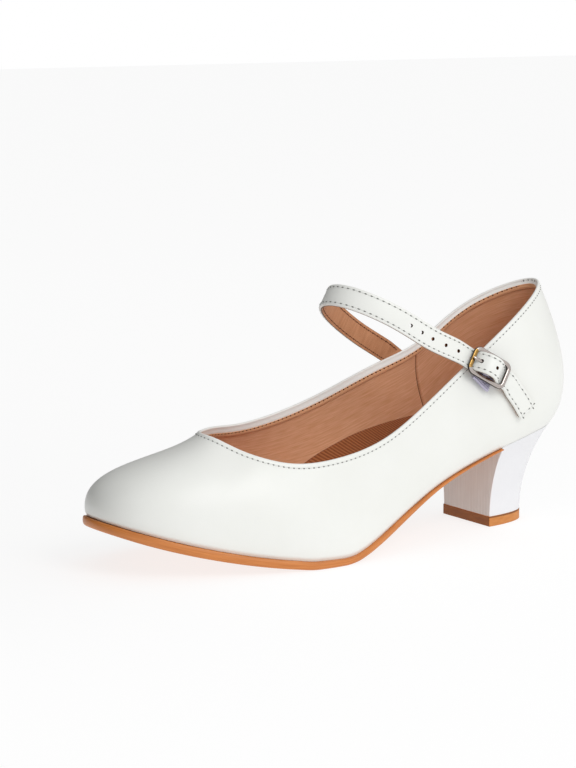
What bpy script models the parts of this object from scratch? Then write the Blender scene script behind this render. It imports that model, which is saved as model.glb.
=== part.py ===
"""Left character shoe: a one-strap leather pump on a covered heel.

The toe points along -Y, the buckle side is +X, and the shoe stands on Z = 0.
Along is measured from the toe tip to the heel, across from the last's centre
line towards the buckle side, and height from the floor.
"""

import math
from collections import namedtuple

import bmesh
import bpy
import numpy as np
from mathutils import Vector

MM = 0.001

# Driving sizes of the last
LENGTH = 236.0 * MM
BALL_WIDTH = 78.0 * MM
TOPLINE_WIDTH = 58.0 * MM
TOE_SPRING = 19.5 * MM
HEEL_HEIGHT = 41.5 * MM
INSTEP_HEIGHT = 54.5 * MM
COUNTER_HEIGHT = 62.5 * MM

# Where the middle of the shoe's box lies, across and along
CENTRE_ACROSS = 0.9 * MM
CENTRE_ALONG = 0.505 * LENGTH

# Driving sizes of the shoe's pieces
UPPER_WALL = 1.8 * MM
SOLE_THICKNESS = 3.9 * MM
SOLE_LEDGE = 1.3 * MM
INSOLE_THICKNESS = 2.2 * MM
HEEL_BREAST = 187.5 * MM
TIP_WIDTH = 33.0 * MM
TIP_LENGTH = 25.0 * MM
TIP_THICKNESS = 4.6 * MM
TIP_LEDGE = 0.3 * MM
STRAP_WIDTH = 9.0 * MM
STRAP_THICKNESS = 1.7 * MM
STRAP_EDGE = 0.35 * MM
STRAP_REACH = 60.0 * MM
HOLE_DIAMETER = 1.9 * MM
HOLE_SPACING = 6.9 * MM
HOLES_BEFORE_PRONG = 6
HOLES_AFTER_PRONG = 1
BUCKLE_LENGTH = 19.0 * MM
BUCKLE_WIDTH = 12.6 * MM
BUCKLE_WIRE = 1.7 * MM
BUCKLE_CORNER = 2.4 * MM
BUCKLE_STANDOFF = 4.6 * MM
PRONG_WIRE = 1.2 * MM
ELASTIC_WIDTH = 7.6 * MM
ELASTIC_THICKNESS = 1.0 * MM
ELASTIC_TAIL = 8.5 * MM
ELASTIC_FOLD = 0.35 * MM
GAP = 0.3 * MM
SLIVER = 0.03 * MM

# Slopes in degrees: the plane of the strap's loop, and the buckle along the quarter
LOOP_SLOPE = 31.0
BUCKLE_SLOPE = 35.0

# The loop hangs a little before the buckle, by these shares of the sag
LOOP_SAG = 1.5 * MM
SAG_SHARES = (0.1, 0.45, 1.0)

# Powers that shape curves: below 1 is blunter than an ellipse, above 1 starts slower
LOOP_FULLNESS = 0.85
HEEL_CORNER = 0.62
HEEL_BACK = 1.25
HEEL_FLARE = 2.0
BREAST_SPREAD = 1.6

# Places on the wall, each a share of a turn round the ring and of the rise up a rib
Spot = namedtuple("Spot", "turn rise")
STRAP_SEWN_END = Spot(0.606, 0.70)
STRAP_SEWN_TOP = Spot(0.628, 0.96)
BUCKLE_SPOT = Spot(0.395, 0.845)
STRAP_TAIL_TOP = Spot(0.411, 0.560)
STRAP_TAIL_END = Spot(0.418, 0.300)

# Mesh density
RING_STEPS = 84
RIB_STEPS = 13
SOLE_STEPS = 46
HEEL_STEPS = 8
STRAP_STEPS = 76
PRONG_STEPS = 13
SLAB_SHARES = (0.0, 0.12, 0.5, 0.88, 1.0)

# Underside of the sole: along as a share of LENGTH, then the shares of TOE_SPRING
# and HEEL_HEIGHT that are added there, and the thickness as a share of SOLE_THICKNESS
BottomRow = namedtuple("BottomRow", "along toe heel thickness")
BOTTOM_LINE = (
    BottomRow(0.000, 1.000, 0.000, 1.00),
    BottomRow(0.070, 0.700, 0.000, 1.08),
    BottomRow(0.150, 0.420, 0.000, 1.04),
    BottomRow(0.230, 0.200, 0.000, 0.96),
    BottomRow(0.300, 0.060, 0.000, 0.90),
    BottomRow(0.345, 0.000, 0.000, 0.84),
    BottomRow(0.400, 0.000, 0.000, 0.74),
    BottomRow(0.425, 0.000, 0.014, 0.70),
    BottomRow(0.450, 0.000, 0.052, 0.68),
    BottomRow(0.485, 0.000, 0.125, 0.67),
    BottomRow(0.560, 0.000, 0.308, 0.66),
    BottomRow(0.640, 0.000, 0.510, 0.62),
    BottomRow(0.720, 0.000, 0.690, 0.52),
    BottomRow(0.800, 0.000, 0.850, 0.36),
    BottomRow(0.900, 0.000, 0.975, 0.30),
    BottomRow(1.000, 0.000, 1.000, 0.30),
)

# Ribs of the upper, from the toe round the buckle side to the back and home again.
# foot_along and top_along are shares of LENGTH, foot_across of BALL_WIDTH and
# top_across of TOPLINE_WIDTH. The topline stands at instep x INSTEP_HEIGHT plus
# heel x HEEL_HEIGHT plus counter x COUNTER_HEIGHT. A rib leaves the sole foot_lean
# degrees outside upright and meets the topline top_lean degrees inside upright, and
# its two pulls are shares of the rib's straight length.
Rib = namedtuple(
    "Rib",
    "foot_along foot_across top_along top_across instep heel counter "
    "foot_lean foot_pull top_lean top_pull",
)
RIBS = (
    Rib(0.014, -0.103, 0.207, 0.050, 1.00, 0.00, 0.00, 14, 0.41, 45, 0.28),
    Rib(0.036, 0.110, 0.215, 0.175, 0.98, 0.00, 0.00, 12, 0.38, 46, 0.29),
    Rib(0.100, 0.272, 0.240, 0.292, 0.91, 0.00, 0.00, 10, 0.29, 46, 0.37),
    Rib(0.205, 0.395, 0.276, 0.400, 0.84, 0.00, 0.00, 8, 0.28, 42, 0.38),
    Rib(0.335, 0.496, 0.335, 0.475, 0.78, 0.00, 0.00, 6, 0.32, 28, 0.36),
    Rib(0.440, 0.485, 0.415, 0.515, 0.70, 0.06, 0.04, 4, 0.34, 16, 0.36),
    Rib(0.550, 0.395, 0.520, 0.500, 0.50, 0.31, 0.14, 14, 0.34, 8, 0.36),
    Rib(0.675, 0.325, 0.635, 0.450, 0.26, 0.60, 0.39, 26, 0.34, 14, 0.36),
    Rib(0.800, 0.325, 0.755, 0.400, 0.06, 0.84, 0.69, 28, 0.32, 22, 0.38),
    Rib(0.906, 0.268, 0.862, 0.330, 0.00, 1.00, 0.885, 34, 0.31, 24, 0.42),
    Rib(0.971, 0.000, 0.951, 0.000, 0.00, 1.02, 1.02, 44, 0.29, 23, 0.47),
    Rib(0.906, -0.263, 0.862, -0.340, 0.00, 1.00, 0.868, 34, 0.31, 24, 0.42),
    Rib(0.800, -0.320, 0.757, -0.395, 0.12, 0.84, 0.612, 26, 0.32, 20, 0.38),
    Rib(0.675, -0.270, 0.655, -0.425, 0.42, 0.60, 0.362, 28, 0.36, 12, 0.36),
    Rib(0.550, -0.290, 0.545, -0.440, 0.757, 0.34, 0.09, 24, 0.36, 14, 0.36),
    Rib(0.425, -0.400, 0.440, -0.420, 0.937, 0.08, 0.00, 8, 0.34, 26, 0.36),
    Rib(0.310, -0.470, 0.345, -0.345, 0.957, 0.00, 0.00, 4, 0.30, 40, 0.38),
    Rib(0.200, -0.478, 0.275, -0.235, 0.98, 0.00, 0.00, 8, 0.27, 50, 0.40),
    Rib(0.100, -0.420, 0.236, -0.140, 0.99, 0.00, 0.00, 10, 0.355, 45, 0.31),
    Rib(0.036, -0.300, 0.215, -0.050, 1.00, 0.00, 0.00, 12, 0.40, 45, 0.29),
)

# Colours as linear red, green and blue, then roughness and metallic
FINISHES = {
    "white_leather": ((0.86, 0.86, 0.83), 0.42, 0.0),
    "heel_cover": ((0.82, 0.82, 0.82), 0.40, 0.0),
    "tan_sole": ((0.62, 0.26, 0.08), 0.50, 0.0),
    "tan_lining": ((0.50, 0.24, 0.12), 0.70, 0.0),
    "nickel": ((0.66, 0.65, 0.62), 0.22, 1.0),
    "white_elastic": ((0.62, 0.60, 0.72), 0.80, 0.0),
}


def spline(knots, values, period=None):
    """Return a smooth function through the values, natural at its ends or periodic."""
    knots = np.asarray(knots, float)
    values = np.asarray(values, float)
    if period:
        knots = np.append(knots, knots[0] + period)
        values = np.append(values, values[0])
    step = np.diff(knots)
    slope = np.diff(values) / step
    count = len(knots)
    matrix = np.eye(count)
    target = np.zeros(count)
    for i in range(1, count - 1):
        matrix[i, i - 1 : i + 2] = step[i - 1], 2 * (step[i - 1] + step[i]), step[i]
        target[i] = 6 * (slope[i] - slope[i - 1])
    if period:
        matrix[0] = 0.0
        matrix[0, 0], matrix[0, -1] = 1.0, -1.0
        matrix[-1] = 0.0
        matrix[-1, 0], matrix[-1, 1] = 2 * step[0], step[0]
        matrix[-1, -2], matrix[-1, -1] = step[-1], 2 * step[-1]
        target[-1] = 6 * (slope[0] - slope[-1])
    bend = np.linalg.solve(matrix, target)

    def curve(at):
        at = np.asarray(at, float)
        if period:
            at = knots[0] + (at - knots[0]) % period
        i = np.clip(np.searchsorted(knots, at, side="right") - 1, 0, count - 2)
        left = at - knots[i]
        right = knots[i + 1] - at
        width = step[i]
        return (
            (bend[i] * right**3 + bend[i + 1] * left**3) / (6 * width)
            + (values[i] / width - bend[i] * width / 6) * right
            + (values[i + 1] / width - bend[i + 1] * width / 6) * left
        )

    return curve


def steady(knots, values):
    """Return a smooth function that keeps level stretches level and never overshoots."""
    knots = np.asarray(knots, float)
    values = np.asarray(values, float)
    step = np.diff(knots)
    slope = np.diff(values) / step
    tangent = np.zeros(len(knots))
    same_way = slope[:-1] * slope[1:] > 0
    lean = 2 * slope[:-1] * slope[1:]
    total = np.where(same_way, slope[:-1] + slope[1:], 1.0)
    tangent[1:-1] = np.where(same_way, lean / total, 0.0)
    tangent[0] = slope[0]
    tangent[-1] = slope[-1]

    def curve(at):
        at = np.clip(np.asarray(at, float), knots[0], knots[-1])
        i = np.clip(np.searchsorted(knots, at, side="right") - 1, 0, len(step) - 1)
        t = (at - knots[i]) / step[i]
        a = values[i] * (1 + 2 * t) * (1 - t) ** 2 + values[i + 1] * t * t * (3 - 2 * t)
        b = step[i] * t * (1 - t) * (tangent[i] * (1 - t) - tangent[i + 1] * t)
        return a + b

    return curve


def unit(vector):
    """Return the vector at length one."""
    vector = np.asarray(vector, float)
    return vector / np.linalg.norm(vector, axis=-1, keepdims=True)


def column(rows, name, scale=1.0):
    """Return one column of a table of rows, times the size that it is a share of."""
    return np.array([getattr(row, name) for row in rows]) * scale


BOTTOM_ALONG = column(BOTTOM_LINE, "along", LENGTH)
SOLE_BOTTOM = steady(
    BOTTOM_ALONG,
    column(BOTTOM_LINE, "toe", TOE_SPRING) + column(BOTTOM_LINE, "heel", HEEL_HEIGHT),
)
SOLE_DEPTH = steady(BOTTOM_ALONG, column(BOTTOM_LINE, "thickness", SOLE_THICKNESS))


def sole_top(along):
    """Return the height of the sole's upper face."""
    return SOLE_BOTTOM(along) + SOLE_DEPTH(along)


class Last:
    """The last's side wall, read anywhere round the ring and up each rib."""

    def __init__(self):
        turns = np.arange(len(RIBS)) / len(RIBS)
        scales = {
            "foot_along": LENGTH,
            "foot_across": BALL_WIDTH,
            "top_along": LENGTH,
            "top_across": TOPLINE_WIDTH,
            "instep": INSTEP_HEIGHT,
            "heel": HEEL_HEIGHT,
            "counter": COUNTER_HEIGHT,
            "foot_lean": math.radians(1),
            "foot_pull": 1.0,
            "top_lean": math.radians(1),
            "top_pull": 1.0,
        }
        self.read = {
            name: spline(turns, column(RIBS, name, scale), period=1.0)
            for name, scale in scales.items()
        }

    def outward(self, turn, end):
        """Return the level direction that faces out from the foot or top outline."""
        nudge = 1e-4
        along = self.read[end + "_along"]
        across = self.read[end + "_across"]
        run = along(turn + nudge) - along(turn - nudge)
        side = across(turn + nudge) - across(turn - nudge)
        return unit(np.stack([run, -side, np.zeros_like(run)], -1))

    def foot(self, turn):
        """Return where the ribs stand on the sole."""
        along = self.read["foot_along"](turn)
        across = self.read["foot_across"](turn)
        return np.stack([across, along, sole_top(along) + GAP], -1)

    def top(self, turn):
        """Return the topline."""
        along = self.read["top_along"](turn)
        across = self.read["top_across"](turn)
        height = self.read["instep"](turn) + self.read["heel"](turn) + self.read["counter"](turn)
        return np.stack([across, along, height], -1)

    def wall(self, turn, rise):
        """Return points of the outer wall: turn runs round it, rise from 0 to 1 up it."""
        turn = np.asarray(turn, float)
        rise = np.asarray(rise, float)[..., None]
        up = np.array([0.0, 0.0, 1.0])
        foot = self.foot(turn)
        top = self.top(turn)
        reach = np.linalg.norm(top - foot, axis=-1)[..., None]
        foot_lean = self.read["foot_lean"](turn)[..., None]
        top_lean = self.read["top_lean"](turn)[..., None]
        foot_way = np.cos(foot_lean) * up + np.sin(foot_lean) * self.outward(turn, "foot")
        top_way = np.cos(top_lean) * up - np.sin(top_lean) * self.outward(turn, "top")
        low = foot + self.read["foot_pull"](turn)[..., None] * reach * foot_way
        high = top - self.read["top_pull"](turn)[..., None] * reach * top_way
        rest = 1 - rise
        return rest**3 * foot + 3 * rest**2 * rise * low + 3 * rest * rise**2 * high + rise**3 * top

    def normal(self, turn, rise):
        """Return the direction that faces out of the wall."""
        nudge = 1e-3
        rise = np.clip(rise, nudge, 1 - nudge)
        round_way = self.wall(turn + nudge, rise) - self.wall(turn - nudge, rise)
        up_way = self.wall(turn, rise + nudge) - self.wall(turn, rise - nudge)
        return unit(np.cross(round_way, up_way))


LAST = Last()


def place(points):
    """Return points given as across, along and height in the model's own frame."""
    points = np.asarray(points, float)
    return points - np.array([CENTRE_ACROSS, CENTRE_ALONG, 0.0])


def add_object(name, points, faces, finish, parts):
    """Make one closed mesh object with outward faces and a finish."""
    mesh = bpy.data.meshes.new(name)
    mesh.from_pydata([tuple(p) for p in place(points)], [], faces)
    work = bmesh.new()
    work.from_mesh(mesh)
    bmesh.ops.remove_doubles(work, verts=work.verts, dist=0.00001)
    bmesh.ops.recalc_face_normals(work, faces=work.faces)
    work.to_mesh(mesh)
    work.free()
    mesh.shade_smooth()
    mesh.set_sharp_from_angle(angle=math.radians(40))
    thing = bpy.data.objects.new(name, mesh)
    thing.data.materials.append(make_material(finish))
    parts.objects.link(thing)
    return thing


def make_material(name):
    """Return the finish of that name as a Principled material."""
    if name in bpy.data.materials:
        return bpy.data.materials[name]
    colour, roughness, metallic = FINISHES[name]
    material = bpy.data.materials.new(name)
    material.use_nodes = True
    shader = material.node_tree.nodes["Principled BSDF"]
    shader.inputs["Base Color"].default_value = (*colour, 1.0)
    shader.inputs["Roughness"].default_value = roughness
    shader.inputs["Metallic"].default_value = metallic
    material.diffuse_color = (*colour, 1.0)
    return material


def loft(rings, close_ends=True):
    """Return the points and faces of a tube through rings of equally many points."""
    count = len(rings[0])
    points = [p for ring in rings for p in ring]
    faces = []
    for i in range(len(rings) - 1):
        for j in range(count):
            k = (j + 1) % count
            faces.append((i * count + j, i * count + k, (i + 1) * count + k, (i + 1) * count + j))
    if close_ends:
        faces.append(tuple(range(count))[::-1])
        faces.append(tuple(range((len(rings) - 1) * count, len(rings) * count)))
    return points, faces


def build_upper(parts):
    """The pump's hollow upper, open at the topline and underneath."""
    turns = np.arange(RING_STEPS) / RING_STEPS
    rises = np.linspace(0.0, 1.0, RIB_STEPS + 1)
    rows = [LAST.wall(turns, np.full(RING_STEPS, rise)) for rise in rises]
    points, faces = loft(rows, close_ends=False)
    upper = add_object("upper", points, faces, "white_leather", parts)
    upper.data.materials.append(make_material("tan_lining"))
    shell = upper.modifiers.new("leather and lining", "SOLIDIFY")
    shell.thickness = UPPER_WALL
    shell.offset = -1.0
    shell.use_even_offset = True
    shell.use_quality_normals = True
    shell.material_offset = 1
    return upper


def outline(offset):
    """Return the across values of both sole edges against along, moved out by the offset."""
    turns = np.linspace(0.0, 1.0, 721)
    edge = LAST.foot(turns) + LAST.outward(turns, "foot") * offset
    tip = np.argmin(edge[:, 1])
    edge = np.roll(edge[:-1], -tip, axis=0)
    back = np.argmax(edge[:, 1])
    outer = edge[: back + 1]
    inner = np.vstack([edge[back:], edge[:1]])[::-1]
    return outer, inner


def plate(offset, start, end, low, high, steps):
    """Return the stations of a slab in the sole's outline: along, both edges, low and high."""
    outer, inner = outline(offset)
    first = max(start, outer[0, 1])
    last = min(end, outer[-1, 1])
    spread = np.linspace(0.0, 1.0, steps + 1)
    toe_ease = spread**2 * (3 - 2 * spread) if end >= outer[-1, 1] else spread**BREAST_SPREAD
    along = first + (last - first) * toe_ease
    left = np.interp(along, outer[:, 1], outer[:, 0])
    right = np.interp(along, inner[:, 1], inner[:, 0])
    return along, left, right, low(along), high(along)


def build_plate(name, finish, offset, start, end, low, high, parts, steps=SOLE_STEPS):
    """Loft a sole or insole from the toe to its end, each section a flat slab."""
    along, left, right, bottom, top = plate(offset, start, end, low, high, steps)
    rings = []
    for y, a, b, z0, z1 in zip(along, left, right, bottom, top):
        below = [(b + (a - b) * share, y, z0) for share in SLAB_SHARES]
        above = [(x, y, z1) for x, _, _ in reversed(below)]
        rings.append(below + above)
    points, faces = loft(rings)
    return add_object(name, points, faces, finish, parts)


def build_outsole(parts):
    """The leather outsole, from the toe tip to the heel breast."""
    end = HEEL_BREAST - GAP
    return build_plate("outsole", "tan_sole", SOLE_LEDGE, 0.0, end, SOLE_BOTTOM, sole_top, parts)


def build_insole(parts):
    """The insole board and sock inside the upper."""
    inset = -(UPPER_WALL + 2 * GAP)

    def low(along):
        return sole_top(along) + GAP

    def high(along):
        return low(along) + INSOLE_THICKNESS

    return build_plate("insole", "tan_lining", inset, 0.0, LENGTH, low, high, parts)


def heel_outline(width, length, front, steps=14):
    """Return one side of a D-shaped heel outline from its breast corner to the back."""
    turns = np.linspace(0.0, math.pi / 2, steps)
    across = width / 2 * np.cos(turns) ** HEEL_CORNER
    along = front + length * np.sin(turns) ** HEEL_BACK
    return across, along


def build_heel(parts):
    """The covered heel block, a D section that flares into the seat."""
    outer, inner = outline(0.0)
    low_across, low_along = heel_outline(TIP_WIDTH, TIP_LENGTH, HEEL_BREAST)
    share = (low_along - HEEL_BREAST) / TIP_LENGTH
    back = outer[-1, 1]
    high_along = HEEL_BREAST + (back - HEEL_BREAST) * share
    high_outer = np.interp(high_along, outer[:, 1], outer[:, 0])
    high_inner = np.interp(high_along, inner[:, 1], inner[:, 0])
    high_height = sole_top(high_along)
    floor = TIP_THICKNESS + GAP
    rings = []
    for step in range(HEEL_STEPS + 1):
        rise = step / HEEL_STEPS
        flare = rise**HEEL_FLARE
        along = low_along + (high_along - low_along) * flare
        height = floor + (high_height - floor) * rise
        a = low_across + (high_outer - low_across) * flare
        b = -low_across + (high_inner + low_across) * flare
        ring = [(x, y, z) for x, y, z in zip(a, along, height)]
        ring += [(x, y, z) for x, y, z in zip(b, along, height)][-2::-1]
        rings.append(ring)
    points, faces = loft(rings, close_ends=False)
    count = len(rings[0])
    half = len(low_across)
    for base, turned in ((0, True), (HEEL_STEPS * count, False)):
        for j in range(half - 1):
            k = (count - 1 - j) % count
            face = [base + j, base + j + 1, base + k - 1, base + k]
            if face[1] == face[2]:
                face = face[:2] + face[3:]
            faces.append(tuple(reversed(face)) if turned else tuple(face))
    return add_object("heel", points, faces, "heel_cover", parts)


def build_heel_tip(parts):
    """The top piece under the heel, a D-shaped slab with a small ledge."""
    width = TIP_WIDTH + 2 * TIP_LEDGE
    length = TIP_LENGTH + TIP_LEDGE
    across, along = heel_outline(width, length, HEEL_BREAST - TIP_LEDGE)
    ring = [(x, y) for x, y in zip(across, along)]
    ring += [(-x, y) for x, y in ring[-2::-1]]
    rings = [[(x, y, z) for x, y in ring] for z in (0.0, TIP_THICKNESS)]
    points, faces = loft(rings)
    return add_object("heel_tip", points, faces, "tan_sole", parts)


def sheet_on_wall(start, end, standoff, steps):
    """Return points a standoff outside the wall, between two spots, with the wall's normals."""
    shares = np.linspace(0.0, 1.0, steps)
    turns = start.turn + (end.turn - start.turn) * shares
    rises = start.rise + (end.rise - start.rise) * shares
    normals = LAST.normal(turns, rises)
    return LAST.wall(turns, rises) + normals * standoff, normals


class BuckleFrame:
    """The buckle's own directions: along the strap, across it and out of the wall."""

    def __init__(self):
        spot = [np.array([value]) for value in BUCKLE_SPOT]
        slope = math.radians(BUCKLE_SLOPE)
        self.out = LAST.normal(*spot)[0]
        run = np.array([0.0, math.cos(slope), -math.sin(slope)])
        self.run = unit(run - self.out * (run @ self.out))
        self.side = np.cross(self.out, self.run)
        self.centre = LAST.wall(*spot)[0] + self.out * BUCKLE_STANDOFF
        self.end_bar = (BUCKLE_LENGTH - BUCKLE_WIRE) / 2
        self.side_bar = (BUCKLE_WIDTH - BUCKLE_WIRE) / 2
        bar = BUCKLE_WIRE / 2
        self.under = -(bar + GAP + STRAP_THICKNESS / 2)
        self.over = bar + ELASTIC_THICKNESS + 2 * GAP + STRAP_THICKNESS / 2
        self.prong_lift = bar + GAP + PRONG_WIRE / 2

    def at(self, run, side, out):
        """Return a point from its distances along, across and out of the buckle."""
        return self.centre + self.run * run + self.side * side + self.out * out


BUCKLE = BuckleFrame()


class StrapRoute:
    """The strap's middle line from its sewn end, round the loop and through the buckle."""

    def __init__(self):
        half = STRAP_THICKNESS / 2
        slope = math.radians(LOOP_SLOPE)
        forward = np.array([0.0, -math.cos(slope), math.sin(slope)])
        loop_side = np.array([0.0, math.sin(slope), math.cos(slope)])
        sewn, sewn_out = sheet_on_wall(STRAP_SEWN_END, STRAP_SEWN_TOP, GAP + half, 4)
        sewn_side = np.cross(sewn_out, unit(sewn[-1] - sewn[0]))
        bar = BUCKLE.end_bar
        weave = np.array(
            [
                BUCKLE.at(-bar - BUCKLE_WIRE, 0.0, BUCKLE.under),
                BUCKLE.at(-bar + BUCKLE_WIRE / 3, 0.0, BUCKLE.under),
                BUCKLE.at(-BUCKLE_WIRE, 0.0, BUCKLE.over - GAP),
                BUCKLE.at(BUCKLE_WIRE, 0.0, BUCKLE.over),
                BUCKLE.at(bar - BUCKLE_WIRE / 3, 0.0, BUCKLE.under),
                BUCKLE.at(bar + BUCKLE_WIRE, 0.0, BUCKLE.under - GAP),
            ]
        )
        start = sewn[-1]
        end = weave[0]
        turns = np.linspace(0.0, math.pi, 12)[1:-1, None]
        between = (1 - np.cos(turns)) / 2
        reach = STRAP_REACH * np.sin(turns) ** LOOP_FULLNESS
        loop = start + (end - start) * between + forward * reach
        loop[-len(SAG_SHARES) :, 2] -= LOOP_SAG * np.array(SAG_SHARES)
        tail, tail_out = sheet_on_wall(STRAP_TAIL_TOP, STRAP_TAIL_END, 2 * GAP + half, 4)
        tail_side = np.cross(tail_out, unit(tail[-1] - tail[0]))
        points = np.vstack([sewn, loop, weave, tail])
        sides = np.vstack(
            [
                sewn_side,
                np.tile(loop_side, (len(loop), 1)),
                np.tile(BUCKLE.side, (len(weave), 1)),
                tail_side,
            ]
        )
        steps = np.linalg.norm(np.diff(points, axis=0), axis=1)
        knots = np.concatenate([[0.0], np.cumsum(steps)])
        self.middle = [spline(knots, points[:, axis]) for axis in range(3)]
        self.side = [spline(knots, sides[:, axis]) for axis in range(3)]
        self.length = knots[-1]
        first = knots[len(sewn) + len(loop) + 1]
        crossing = np.linspace(first, first + BUCKLE.end_bar, 200)
        middle = np.stack([curve(crossing) for curve in self.middle], -1)
        lift = (middle - BUCKLE.centre) @ BUCKLE.out
        self.prong_at = crossing[np.argmax(lift > BUCKLE.prong_lift)]

    def frame(self, at):
        """Return the middle, side and outward directions at distances along the route."""
        at = np.atleast_1d(np.asarray(at, float))
        nudge = 0.2 * MM
        middle = np.stack([curve(at) for curve in self.middle], -1)
        ahead = np.stack([curve(at + nudge) for curve in self.middle], -1)
        behind = np.stack([curve(at - nudge) for curve in self.middle], -1)
        run = unit(ahead - behind)
        side = np.stack([curve(at) for curve in self.side], -1)
        side = unit(side - run * np.sum(side * run, axis=-1, keepdims=True))
        return middle, side, np.cross(run, side)


ROUTE = StrapRoute()


def tube(name, points, width, closed, finish, parts):
    """Make a round wire through points as a closed mesh."""
    data = bpy.data.curves.new(name, "CURVE")
    data.dimensions = "3D"
    data.bevel_depth = width / 2
    data.bevel_resolution = 3
    data.use_fill_caps = not closed
    line = data.splines.new("POLY")
    line.points.add(len(points) - 1)
    for point, where in zip(line.points, place(points)):
        point.co = (*where, 1.0)
    line.use_cyclic_u = closed
    wire = bpy.data.objects.new(name, data)
    bpy.context.scene.collection.objects.link(wire)
    shown = wire.evaluated_get(bpy.context.evaluated_depsgraph_get())
    mesh = bpy.data.meshes.new_from_object(shown)
    bpy.data.objects.remove(wire)
    work = bmesh.new()
    work.from_mesh(mesh)
    bmesh.ops.remove_doubles(work, verts=work.verts, dist=0.00001)
    bmesh.ops.recalc_face_normals(work, faces=work.faces)
    work.to_mesh(mesh)
    work.free()
    mesh.shade_smooth()
    mesh.set_sharp_from_angle(angle=math.radians(40))
    mesh.materials.clear()
    mesh.materials.append(make_material(finish))
    thing = bpy.data.objects.new(name, mesh)
    parts.objects.link(thing)
    return thing


def carve(thing, cutter, operation="DIFFERENCE"):
    """Join or cut a piece with another, which is then hidden as a guide."""
    change = thing.modifiers.new(cutter.name, "BOOLEAN")
    change.object = cutter
    change.operation = operation
    cutter.hide_render = True
    cutter.display_type = "WIRE"


def rounded_frame(half_run, half_side, corner, steps=6):
    """Return a rounded rectangle's points in the buckle's plane."""
    points = []
    for number, (u, v) in enumerate(((1, 1), (-1, 1), (-1, -1), (1, -1))):
        for step in range(steps + 1):
            angle = math.pi / 2 * (number + step / steps)
            run = u * (half_run - corner) + corner * math.cos(angle)
            side = v * (half_side - corner) + corner * math.sin(angle)
            points.append(BUCKLE.at(run, side, 0.0))
    return np.array(points)


def prong_points(extra=0.0):
    """Return the prong's line, from the middle bar up through the strap to the end bar."""
    bar = BUCKLE.prong_lift
    turns = np.radians(np.linspace(-150.0, 90.0, PRONG_STEPS))
    points = [BUCKLE.at(bar * math.cos(t), 0.0, bar * math.sin(t)) for t in turns]
    tip = -BUCKLE.end_bar - PRONG_WIRE / 2 - extra
    for share in (0.4, 0.8, 1.0):
        points.append(BUCKLE.at(tip * share, 0.0, bar))
    return np.array(points)


def build_strap(parts, cutters):
    """The one strap, sewn to the inner quarter, punched and run through the buckle."""
    stations = np.linspace(0.0, ROUTE.length, STRAP_STEPS + 1)
    middle, side, out = ROUTE.frame(stations)
    half_width = STRAP_WIDTH / 2
    half_thick = STRAP_THICKNESS / 2
    flat_width = half_width - STRAP_EDGE
    flat_thick = half_thick - STRAP_EDGE
    corners = (
        (half_width, -flat_thick),
        (half_width, flat_thick),
        (flat_width, half_thick),
        (-flat_width, half_thick),
        (-half_width, flat_thick),
        (-half_width, -flat_thick),
        (-flat_width, -half_thick),
        (flat_width, -half_thick),
    )
    rings = []
    for centre, across, up in zip(middle, side, out):
        rings.append([centre + across * wide + up * thick for wide, thick in corners])
    points, faces = loft(rings)
    strap = add_object("strap", points, faces, "white_leather", parts)
    for number in range(-HOLES_BEFORE_PRONG, HOLES_AFTER_PRONG + 1):
        if number == 0:
            continue
        where, _, way = ROUTE.frame(ROUTE.prong_at + number * HOLE_SPACING)
        ends = where + way * STRAP_THICKNESS * np.array([[-1.0], [1.0]])
        name = f"hole_{number + HOLES_BEFORE_PRONG}"
        carve(strap, tube(name, ends, HOLE_DIAMETER, False, "nickel", cutters))
    straight = prong_points(extra=BUCKLE_WIRE)[PRONG_STEPS - 1 :]
    room = PRONG_WIRE + 2 * GAP
    carve(strap, tube("prong_hole", straight, room, False, "nickel", cutters))
    return strap


def build_buckle(parts, cutters):
    """The nickel buckle: a rounded frame with a middle bar, and its prong."""
    ring = rounded_frame(BUCKLE.end_bar, BUCKLE.side_bar, BUCKLE_CORNER)
    frame = tube("buckle_frame", ring, BUCKLE_WIRE, True, "nickel", parts)
    ends = np.array([BUCKLE.at(0.0, BUCKLE.side_bar * way, 0.0) for way in (-1, 1)])
    bar = tube("middle_bar", ends, BUCKLE_WIRE - SLIVER, False, "nickel", cutters)
    carve(frame, bar, "UNION")
    tube("buckle_prong", prong_points(), PRONG_WIRE, False, "nickel", parts)


def build_elastic(parts, cutters):
    """The elastic that loops round the middle bar and is sewn to the outer quarter."""
    inside = BUCKLE_WIRE / 2 + GAP
    outside = inside + ELASTIC_THICKNESS
    seat = 2 * GAP - BUCKLE_STANDOFF
    arc = np.radians(np.linspace(75.0, 285.0, 15))
    outer = [(outside * math.cos(t), outside * math.sin(t)) for t in arc]
    half_tail = ELASTIC_TAIL / 2
    low = [(half_tail, seat + ELASTIC_FOLD), (ELASTIC_TAIL, seat)]
    high = [(x, z + ELASTIC_THICKNESS) for x, z in reversed(low)]
    section = outer + low + high
    rings = []
    for way in (-0.5, 0.5):
        rings.append([BUCKLE.at(run, way * ELASTIC_WIDTH, out) for run, out in section])
    points, faces = loft(rings)
    elastic = add_object("elastic", points, faces, "white_elastic", parts)
    ends = np.array([BUCKLE.at(0.0, BUCKLE.side_bar * way, 0.0) for way in (-1, 1)])
    carve(elastic, tube("bar_bore", ends, 2 * inside, False, "nickel", cutters))
    reach = BUCKLE_WIRE / 2 + PRONG_WIRE + 2 * GAP
    bpy.ops.mesh.primitive_cube_add(size=1.0)
    notch = bpy.context.object
    notch.name = "prong_notch"
    notch.data.name = "prong_notch"
    for vertex in notch.data.vertices:
        run = vertex.co.x * 2 * reach
        side = vertex.co.y * (PRONG_WIRE + 2 * GAP)
        out = vertex.co.z * 2 * reach
        vertex.co = Vector(place(BUCKLE.at(run, side, out)))
    for group in list(notch.users_collection):
        group.objects.unlink(notch)
    cutters.objects.link(notch)
    carve(elastic, notch)
    return elastic


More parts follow.
